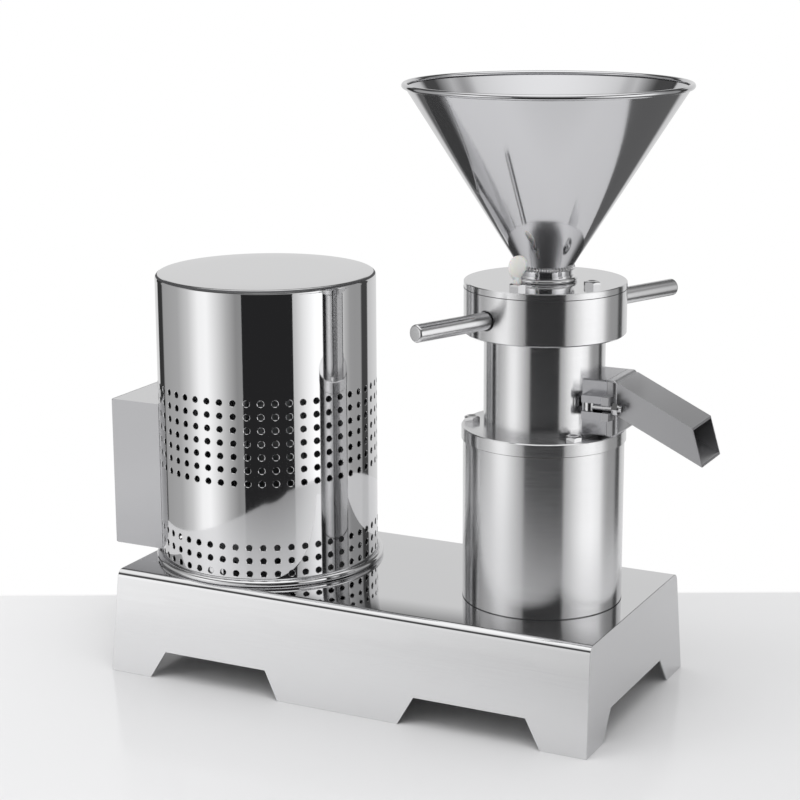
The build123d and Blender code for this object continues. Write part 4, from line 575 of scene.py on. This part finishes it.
def makeBaseCover():
    # A folded sheet. Column X of the side at height z lies at x = X (1 - k z); a side's row runs
    # from the notched lower edge straight up to the fold, then round it: y = f + R cos a,
    # z = H - R + R sin a. Each end is one flat face between the two sides.
    half, deep, tall = baseCover["length"] / 2, baseCover["depth"] / 2, baseCover["height"]
    fold, notchHeight, square = baseCover["fold"], baseCover["notchHeight"], baseCover["holeSquare"]
    shrink = baseCover["endLean"] / half / tall
    lean = math.atan2(baseCover["sideLean"], tall)
    tangentZ = tall - fold + fold * math.sin(lean)
    foldY = deep - tangentZ * math.tan(lean) - fold * math.cos(lean)
    middle, width, slant = baseCover["sideNotch"]
    notch = middle + np.array([-width / 2, -width / 2 + slant, width / 2 - slant, width / 2])
    squares = [x + side * square for x, r in baseCover["holes"] for side in (-1, 1)]
    columns = np.unique(np.round(np.concatenate(
        [[-half, half], notch, -notch, np.array(squares) / (1 - shrink * tall),
         np.linspace(-half, half, 31)[1:-1]]), 6))
    lower = notchHeight * np.clip((width / 2 - abs(abs(columns) - middle)) / slant, 0, 1)[:, None]
    rise = np.linspace(0, 1, 5)[None, :]
    turn = np.linspace(lean, math.pi / 2, baseCover["foldSteps"] + 1)[None, 1:]
    sideZ = lower + (tangentZ - lower) * rise
    sideY = foldY + fold * math.cos(lean) + (tangentZ - sideZ) * math.tan(lean)
    z = np.concatenate([sideZ, tall - fold + fold * np.sin(turn) + 0 * lower], 1)
    y = np.concatenate([sideY, foldY + fold * np.cos(turn) + 0 * lower], 1)
    x = columns[:, None] * (1 - shrink * z)
    sides = [np.stack([x, side * y, z], -1) for side in (-1, 1)]
    rows = np.concatenate([[-foldY], np.linspace(-square, square, 9), [foldY]])
    topX = columns * (1 - shrink * tall)
    top = np.stack(np.broadcast_arrays(topX[:, None], rows[None, :], tall), -1)
    points, faces, start = [], [], 0
    for grid in (*sides, top):
        nu, nv = grid.shape[:2]
        index = start + np.arange(nu * nv).reshape(nu, nv)
        quads = np.stack([index[:-1, :-1], index[1:, :-1], index[1:, 1:], index[:-1, 1:]], -1)
        if grid is top:
            middleX = (topX[1:] + topX[:-1])[:, None] / 2
            middleY = (rows[1:] + rows[:-1])[None, :] / 2
            keep = np.ones(quads.shape[:2], bool)
            for holeX, radius in baseCover["holes"]:
                keep &= (abs(middleX - holeX) > square) | (abs(middleY) > square)
            quads = quads[keep]
            topIndex = index
        points.append(grid.reshape(-1, 3))
        faces += quads.reshape(-1, 4).tolist()
        start += nu * nv
    for holeX, radius in baseCover["holes"]:
        # the square round each hole is joined to the hole's rim at the same bearings
        across = np.where(abs(topX - holeX) < square + 1e-6)[0]
        up = np.where(abs(rows) < square + 1e-6)[0]
        loop = [(i, up[0]) for i in across[:-1]] + [(across[-1], j) for j in up[:-1]]
        loop += [(i, up[-1]) for i in across[:0:-1]] + [(across[0], j) for j in up[:0:-1]]
        rim = np.array([top[i, j] for i, j in loop])
        bearing = np.arctan2(rim[:, 1], rim[:, 0] - holeX)
        circle = np.stack([holeX + radius * np.cos(bearing), radius * np.sin(bearing),
                           0 * bearing + tall], -1)
        outer = np.array([topIndex[i, j] for i, j in loop])
        inner = start + np.arange(len(loop))
        faces += np.stack([outer, np.roll(outer, -1), np.roll(inner, -1), inner], -1).tolist()
        points.append(circle)
        start += len(loop)
    endWidth, endSlant = baseCover["endNotch"]
    notchEdge = [(endWidth / 2, 0), (endWidth / 2 - endSlant, notchHeight),
                 (endSlant - endWidth / 2, notchHeight), (-endWidth / 2, 0)]
    for end in (0, -1):
        edge = np.concatenate([sides[0][end], top[end, 1:-1], sides[1][end][::-1],
                               [(columns[end] * (1 - shrink * level), across, level)
                                for across, level in notchEdge]])
        points.append(edge)
        faces.append(list(range(start, start + len(edge))))
        start += len(edge)
    obj = meshFromArrays("baseCover", np.concatenate(points), faces, brushedSheet, sharpAngle=180)
    mesh = obj.data
    mesh.materials.append(mirrorTop)
    normals = np.empty(len(mesh.polygons) * 3, np.float32)
    mesh.polygon_normals.foreach_get("vector", normals)
    mesh.polygons.foreach_set("material_index", (normals[2::3] > 0.14).astype(np.int32))
    print("base cover: top looks up", bool(normals[2::3].max() > 0.99))
    wall = obj.modifiers.new("sheetThickness", "SOLIDIFY")
    wall.thickness = baseCover["sheet"]
    wall.offset = -1
    wall.use_even_offset = True
    soften = obj.modifiers.new("softEdges", "BEVEL")
    soften.width = baseCover["softEdge"]
    soften.segments = 2
    soften.limit_method = "ANGLE"
    soften.angle_limit = math.radians(50)
    soften.harden_normals = True
    placePiece(obj, "base", "satin_stainless", "base_cover")


makeBaseCover()
print("base cover made")


# Bolts with crowned heads, and the port's fitting

boltHeads = {
    "across": 17.0 * millimetre,
    "crownShare": 0.84,              # the flat top's radius over half the width across flats
    "dish": 0.7 * millimetre,
    "shankRadius": 4.9 * millimetre,
    "lidTop": 497.1 * millimetre,
    "flangeTop": 329.1 * millimetre,
    "lidBolts": (66.0 * millimetre, (-16.3, 124.1)),       # circle, degrees
    "flangeBolts": (83.0 * millimetre, (-164.3, -44.3, 75.7)),
    "port": (66.0 * millimetre, (-95.5,)),
    "portBore": 3.0 * millimetre,
}


def hexHead(centre, low, seat, top, bore=0.0):
    # A hexagon's half width at bearing a is h / cos(a mod 60 - 30); its crown falls away at 30
    # degrees from a round flat top with a shallow dish. With a bore the piece is a tube.
    turn = np.linspace(0, 2 * np.pi, 48, endpoint=False)[:, None]
    half = boltHeads["across"] / 2
    edge = half / np.cos(np.mod(turn, np.pi / 3) - np.pi / 6)
    flat = half * boltHeads["crownShare"]
    shank = boltHeads["shankRadius"]
    crownZ = top - (edge - flat) * math.tan(math.radians(30))
    still = 0 * turn
    if bore:
        radii = [bore + still, flat + still, edge, edge, shank + still, shank + still, bore + still]
        levels = [top + still, top + still, crownZ, seat + still, seat + still, low + still, low + still]
    else:
        radii = [still, 0.55 * flat + still, 0.78 * flat + still, flat + still, edge, edge,
                 shank + still, shank + still, still]
        sunk = top - boltHeads["dish"]
        levels = [sunk + still, sunk + still, top + still, top - 0.1 * millimetre + still, crownZ,
                  seat + still, seat + still, low + still, low + still]
    radius, level = np.concatenate(radii, 1), np.concatenate(levels, 1)
    grid = np.stack([centre[0] + radius * np.cos(turn), centre[1] + radius * np.sin(turn), level], -1)
    return grid, True, bool(bore)


def roundHead(circle, degrees):
    turn = math.radians(degrees)
    return headAxis[0] + circle * math.cos(turn), headAxis[1] + circle * math.sin(turn)


def makeBoltHeads():
    rows = (("lidBolts", "lid_bolts", "lidTop", "ring_group", 0.0),
            ("flangeBolts", "flange_bolts", "flangeTop", "base", 0.0),
            ("port", "port_fitting", "lidTop", "ring_group", boltHeads["portBore"]))
    for name, nodeName, seatName, body, bore in rows:
        circle, bearings = boltHeads[name]
        (lowest, highest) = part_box(nodeName)
        grids = [hexHead(roundHead(circle, degrees), lowest[2], boltHeads[seatName], highest[2], bore)
                 for degrees in bearings]
        obj = meshFromGrids(name, grids, boltSteel)
        placePiece(obj, body, "bright_steel", nodeName)


makeBoltHeads()
print("bolt heads made")


# The hopper's socket, and two thin dark rings of painted shadow where close joints meet

socket = {
    "bottom": 497.1 * millimetre,
    "top": 504.6 * millimetre,
    "bore": 27.05 * millimetre,
    "rollRadius": 2.6 * millimetre,
    "roll": 33.4 * millimetre,       # from the axis to the middle of the rolled edge
    "band": 31.2 * millimetre,
}

jointShadowLines = {
    # name: (radius, height, body); these painted shadow lines are 0.7 mm tall and stand 0.15 mm proud
    "lidJointShadow": (92.2 * millimetre, 489.6 * millimetre, "ring_group"),
    "housingFootJointShadow": (92.4 * millimetre, 125.0 * millimetre, "base"),
}


def makeSocket():
    roll = arc((socket["roll"], socket["bottom"] + socket["rollRadius"]), socket["rollRadius"], -90, 90, 11)
    outline = np.concatenate([[(socket["bore"], socket["bottom"])], roll,
                              [(socket["band"], socket["bottom"] + 2 * socket["rollRadius"]),
                               (socket["band"], socket["top"]), (socket["bore"], socket["top"])]])
    obj = meshFromGrids("hopperSocket", [(revolved(outline, headAxis, 128), True, True)], polishedLid)
    placePiece(obj, "ring_group", "polished_stainless", "hopper_socket")


def makeJointShadowLines():
    for name, (radius, level, body) in jointShadowLines.items():
        low, high = level - 0.35 * millimetre, level + 0.35 * millimetre
        near, far = radius - 0.6 * millimetre, radius + 0.15 * millimetre
        outline = [(near, low), (far, low), (far, high), (near, high)]
        obj = meshFromGrids(name, [(revolved(outline, headAxis, 160), True, True)], jointShadowPaint)
        placePiece(obj, body, "satin_stainless")


makeSocket()
makeJointShadowLines()
print("socket and joints made")


# Soft plug in the port

plug = {
    "angle": -95.5,                  # degrees round the head
    "circle": 66.0 * millimetre,
    "base": 503.5 * millimetre,      # top of the fitting
    "stemRadius": 4.4 * millimetre,
    "stemHeight": 6.0 * millimetre,
    "boreRadius": 2.95 * millimetre,
    "width": 20.0 * millimetre,
    "height": 27.5 * millimetre,
    "thickness": 9.0 * millimetre,
    "turn": 30.0,                    # degrees
    "slant": 0.14,                   # the widest part leans to the right as it rises
}


def makePlug():
    # Flattened egg: x = w/2 |cos v|^0.8 cos u, y = t/2 ..., z = h/2 |sin v|^0.9, with a stem below
    turn = np.radians(plug["angle"])
    centre = (headAxis[0] + plug["circle"] * np.cos(turn), headAxis[1] + plug["circle"] * np.sin(turn))
    around = np.linspace(0, 2 * np.pi, 48, endpoint=False)[:, None]
    rise = np.linspace(-np.pi / 2, np.pi / 2, 25)[None, :]
    middle = plug["base"] + plug["stemHeight"] / 2 + plug["height"] / 2
    power = lambda value, exponent: np.sign(value) * np.abs(value) ** exponent
    x = plug["width"] / 2 * power(np.cos(rise), 0.8) * power(np.cos(around), 0.9)
    y = plug["thickness"] / 2 * power(np.cos(rise), 0.6) * power(np.sin(around), 0.7)
    z = plug["height"] / 2 * power(np.sin(rise), 0.92) + 0 * around
    swing = np.radians(plug["turn"])
    x = x * (1 + 0.9 * z / plug["height"] * (0.5 - z / plug["height"])) + plug["slant"] * z
    body = np.stack([centre[0] + x * np.cos(swing) - y * np.sin(swing),
                     centre[1] + x * np.sin(swing) + y * np.cos(swing), middle + z], -1)
    stem = np.array([(0, plug["base"] - plug["stemHeight"]),
                     (plug["boreRadius"], plug["base"] - plug["stemHeight"]),
                     (plug["boreRadius"], plug["base"]), (plug["stemRadius"], plug["base"]),
                     (plug["stemRadius"], plug["base"] + plug["stemHeight"]),
                     (0, plug["base"] + plug["stemHeight"])])
    grids = [(body, True, False), (revolved(stem, centre, 32), True, False)]
    obj = meshFromGrids("portPlug", grids, silicone)
    placePiece(obj, "plug_group", "white_silicone", "port_plug")


makePlug()
print("plug made")


# Camera

view = {
    "position": (1.0627, -2.1131, 0.9104),
    "yaw": -26.635,                  # degrees, turned to the left of +Y
    "pitch": 13.132,                 # degrees below level
    "roll": -0.242,
    "focal": 92.38,                  # mm on a 36 mm sensor
    "shift": (0.0028, -0.0217),
}


def makeCamera():
    yaw, pitch, roll = (math.radians(view[key]) for key in ("yaw", "pitch", "roll"))
    forward = Vector((math.sin(yaw) * math.cos(pitch), math.cos(yaw) * math.cos(pitch), -math.sin(pitch)))
    level = Vector((math.cos(yaw), -math.sin(yaw), 0))
    above = level.cross(forward)
    right = math.cos(roll) * level + math.sin(roll) * above
    upward = math.cos(roll) * above - math.sin(roll) * level
    lens = bpy.data.cameras.new("productCamera")
    lens.sensor_width = 36.0
    lens.lens = view["focal"]
    lens.shift_x, lens.shift_y = view["shift"]
    lens.clip_end = 100
    camera = bpy.data.objects.new("productCamera", lens)
    camera.matrix_world = Matrix.Translation(view["position"]) @ Matrix(
        (right, upward, -forward)).transposed().to_4x4()
    bpy.context.scene.collection.objects.link(camera)
    bpy.context.scene.camera = camera
    flat = Vector((forward.x, forward.y, 0)).normalized()
    return flat, Vector((level.x, level.y, 0)).normalized()


awayDirection, rightDirection = makeCamera()


# Table, studio surroundings and lamps

table = {
    "size": 8.0,
    "backEdge": 0.273,               # where the table meets the white backdrop, from the middle
    "frontReach": 0.82,              # how far the table shows in the metal, to the front
    "sideReach": 0.84,               # and elsewhere
    "color": "F3F3F4",
}

studio = {
    # what polished metal sees round the horizon: (degrees to the right of the camera, brightness)
    "bands": ((-180, 0.78), (-149, 0.80), (-147.5, 0.04), (-133, 0.05), (-131.5, 0.42), (-101, 0.52),
              (-85, 0.78), (-71, 1.24), (-61, 1.30), (-55, 1.12), (-46, 0.84), (-38, 0.58), (-28, 0.34),
              (20, 0.45), (33, 0.74), (42, 1.08), (54, 1.42), (69, 1.50), (84, 1.22), (92, 0.62),
              (100, 0.42), (108, 0.40), (119, 0.40), (121, 0.07), (133, 0.07), (135, 0.70),
              (150, 0.78), (180, 0.78)),
    "overhead": (0.45, 1.42),        # at 30 degrees up, and straight above
    "below": 0.15,                   # the dark floor beyond the table
    "gap": 0.09,                     # unlit gap between the panels and the overhead light
    "fill": 0.68,                    # what plain surfaces get from all round
    "scale": 1.5,                    # the band's numbers are stored divided by this
}

darkCard = {
    # the unlit room round the camera, seen only in polished metal
    "distance": 1.95,
    "across": (-0.94, 1.0),
    "height": (-1.3, 1.0),
    "color": "2B2B2C",
}


def makeTable():
    half = table["size"] / 2
    mesh = bpy.data.meshes.new("table")
    mesh.from_pydata([(-half, -half, 0), (half, -half, 0), (half, half, 0), (-half, half, 0)], [],
                     [(0, 1, 2, 3)])
    material, tree = newMaterial("satinWhiteTable")
    position = addNode(tree, "ShaderNodeTexCoord").outputs["Object"]
    path = addNode(tree, "ShaderNodeLightPath")
    depth = addNode(tree, "ShaderNodeVectorMath", {0: position, 1: tuple(awayDirection)},
                    operation="DOT_PRODUCT")
    # in the metal the table darkens towards its front edge
    dim = addNode(tree, "ShaderNodeMapRange",
                  {"Value": depth.outputs["Value"], "From Min": -0.40, "From Max": -table["frontReach"],
                   "To Min": 0.0, "To Max": 0.5})
    dimSeen = addNode(tree, "ShaderNodeMath", {0: dim.outputs[0], 1: path.outputs["Is Glossy Ray"]},
                      operation="MULTIPLY")
    color = addNode(tree, "ShaderNodeMix", {"Factor": dimSeen.outputs[0],
                                            "A": linearFromHex(table["color"]), "B": (0, 0, 0, 1)},
                    data_type="RGBA")
    surface = addNode(tree, "ShaderNodeBsdfPrincipled",
                      {"Base Color": color.outputs["Result"], "Roughness": 0.14})
    white = addNode(tree, "ShaderNodeEmission", {"Color": (1, 1, 1, 1), "Strength": 1.0})
    clear = addNode(tree, "ShaderNodeBsdfTransparent")
    beyond = addNode(tree, "ShaderNodeMapRange",
                     {"Value": depth.outputs["Value"], "From Min": table["backEdge"],
                      "From Max": table["backEdge"] + 0.01}, interpolation_type="SMOOTHSTEP")
    seenWhite = addNode(tree, "ShaderNodeMath", {0: beyond.outputs[0], 1: path.outputs["Is Camera Ray"]},
                        operation="MULTIPLY")
    distance = addNode(tree, "ShaderNodeVectorMath", {0: position}, operation="LENGTH")
    pastSide = addNode(tree, "ShaderNodeMath", {0: distance.outputs["Value"], 1: table["sideReach"]},
                       operation="GREATER_THAN")
    pastFront = addNode(tree, "ShaderNodeMath", {0: depth.outputs["Value"], 1: -table["frontReach"]},
                        operation="LESS_THAN")
    past = addNode(tree, "ShaderNodeMath", {0: pastSide.outputs[0], 1: pastFront.outputs[0]},
                   operation="MAXIMUM")
    seenClear = addNode(tree, "ShaderNodeMath", {0: past.outputs[0], 1: path.outputs["Is Glossy Ray"]},
                        operation="MULTIPLY")
    backdrop = addNode(tree, "ShaderNodeMixShader",
                       {0: seenWhite.outputs[0], 1: surface.outputs[0], 2: white.outputs[0]})
    ended = addNode(tree, "ShaderNodeMixShader",
                    {0: seenClear.outputs[0], 1: backdrop.outputs[0], 2: clear.outputs[0]})
    finishMaterial(tree, ended)
    mesh.materials.append(material)
    obj = bpy.data.objects.new("table", mesh)
    bpy.context.scene.collection.objects.link(obj)


def makeDarkCard():
    left, right = darkCard["across"]
    low, high = darkCard["height"]
    middle = -darkCard["distance"] * awayDirection
    corners = [middle + side * rightDirection + Vector((0, 0, level))
               for side, level in ((left, low), (right, low), (right, high), (left, high))]
    mesh = bpy.data.meshes.new("darkCard")
    mesh.from_pydata([tuple(corner) for corner in corners], [], [(0, 1, 2, 3)])
    material, tree = newMaterial("unlitRoom")
    finishMaterial(tree, addNode(tree, "ShaderNodeEmission", {"Color": linearFromHex(darkCard["color"])}))
    mesh.materials.append(material)
    obj = bpy.data.objects.new("darkCard", mesh)
    obj.visible_camera = obj.visible_diffuse = obj.visible_shadow = False
    obj.visible_transmission = obj.visible_volume_scatter = False
    bpy.context.scene.collection.objects.link(obj)


def between(tree, value, low, high, soft=0.02):
    # 1 where low < value < high, with soft sides
    rise = addNode(tree, "ShaderNodeMapRange", {"Value": value, "From Min": low, "From Max": low + soft})
    fall = addNode(tree, "ShaderNodeMapRange", {"Value": value, "From Min": high, "From Max": high - soft})
    return addNode(tree, "ShaderNodeMath", {0: rise.outputs[0], 1: fall.outputs[0]},
                   operation="MULTIPLY").outputs[0]


def mixGrey(tree, factor, first, level):
    return addNode(tree, "ShaderNodeMix", {"Factor": factor, "A": first, "B": (level, level, level, 1)},
                   data_type="RGBA").outputs["Result"]


def makeSurroundings():
    world = bpy.data.worlds.new("studio")
    bpy.context.scene.world = world
    world.use_nodes = True
    tree = world.node_tree
    tree.nodes.clear()
    path = addNode(tree, "ShaderNodeLightPath")
    direction = addNode(tree, "ShaderNodeTexCoord").outputs["Generated"]
    sideways = addNode(tree, "ShaderNodeVectorMath", {0: direction, 1: tuple(rightDirection)},
                       operation="DOT_PRODUCT").outputs["Value"]
    towards = addNode(tree, "ShaderNodeVectorMath", {0: direction, 1: tuple(-awayDirection)},
                      operation="DOT_PRODUCT").outputs["Value"]
    upward = addNode(tree, "ShaderNodeSeparateXYZ", {0: direction}).outputs["Z"]
    bearing = addNode(tree, "ShaderNodeMath", {0: sideways, 1: towards}, operation="ARCTAN2")
    along = addNode(tree, "ShaderNodeMapRange",
                    {"Value": bearing.outputs[0], "From Min": -math.pi, "From Max": math.pi})
    ramp = addNode(tree, "ShaderNodeValToRGB", {"Fac": along.outputs[0]})
    stops = ramp.color_ramp.elements
    while len(stops) > 1:
        stops.remove(stops[-1])
    for count, (degrees, grey) in enumerate(studio["bands"]):
        place = (degrees + 180) / 360
        stop = stops[0] if count == 0 else stops.new(place)
        stop.position = place
        stop.color = (grey / studio["scale"],) * 3 + (1,)
    panels = addNode(tree, "ShaderNodeVectorMath", {0: ramp.outputs[0], "Scale": studio["scale"]},
                     operation="SCALE").outputs[0]
    # upward is the sine of the height above the horizon
    rear = between(tree, towards, -1.1, -0.2, 0.3)
    front = between(tree, towards, -0.2, 1.1, 0.3)
    overhead = addNode(tree, "ShaderNodeMapRange", {"Value": upward, "From Min": 0.5, "From Max": 0.56},
                       interpolation_type="SMOOTHSTEP").outputs[0]
    lowLight, highLight = studio["overhead"]
    ceiling = addNode(tree, "ShaderNodeMapRange", {"Value": upward, "From Min": 0.5, "From Max": 0.97,
                                                   "To Min": lowLight, "To Max": highLight}).outputs[0]
    room = addNode(tree, "ShaderNodeMix", {"Factor": overhead, "A": panels, "B": ceiling},
                   data_type="RGBA").outputs["Result"]
    rearGap = addNode(tree, "ShaderNodeMath",
                      {0: between(tree, upward, 0.34, 0.76, 0.06), 1: rear}, operation="MULTIPLY")
    room = mixGrey(tree, rearGap.outputs[0], room, studio["gap"])
    frontGap = addNode(tree, "ShaderNodeMath",
                       {0: between(tree, upward, 0.36, 0.74, 0.06), 1: front}, operation="MULTIPLY")
    room = mixGrey(tree, frontGap.outputs[0], room, studio["gap"])
    room = mixGrey(tree, between(tree, upward, -1.2, -0.34, 0.06), room, studio["below"])
    shiny = addNode(tree, "ShaderNodeMath",
                    {0: path.outputs["Is Glossy Ray"], 1: path.outputs["Is Transmission Ray"]},
                    operation="MAXIMUM")
    fill = studio["fill"]
    plain = addNode(tree, "ShaderNodeMix", {"Factor": shiny.outputs[0], "A": (fill, fill, fill, 1),
                                            "B": room}, data_type="RGBA")
    seen = mixGrey(tree, path.outputs["Is Camera Ray"], plain.outputs["Result"], 1.0)
    background = addNode(tree, "ShaderNodeBackground", {"Color": seen, "Strength": 1.0})
    addNode(tree, "ShaderNodeOutputWorld", {"Surface": background.outputs[0]})


lamps = {
    # name: (place, aimed at, side in metres, watts)
    "overheadSoftbox": ((0.1, -0.5, 2.4), (0, 0, 0.2), 2.2, 26.0),
    "leftSoftbox": ((-1.8, -1.9, 1.3), (0, 0, 0.3), 1.4, 9.0),
}


def makeLamps():
    for name, (place, target, side, watts) in lamps.items():
        light = bpy.data.lights.new(name, "AREA")
        light.shape = "SQUARE"
        light.size = side
        light.energy = watts
        obj = bpy.data.objects.new(name, light)
        obj.location = place
        obj.rotation_euler = (Vector(target) - Vector(place)).to_track_quat("-Z", "Y").to_euler()
        obj.visible_glossy = False
        bpy.context.scene.collection.objects.link(obj)


makeTable()
makeDarkCard()
makeSurroundings()
makeLamps()
bpy.context.scene.view_settings.view_transform = "Standard"
print("table, surroundings and lamps made")
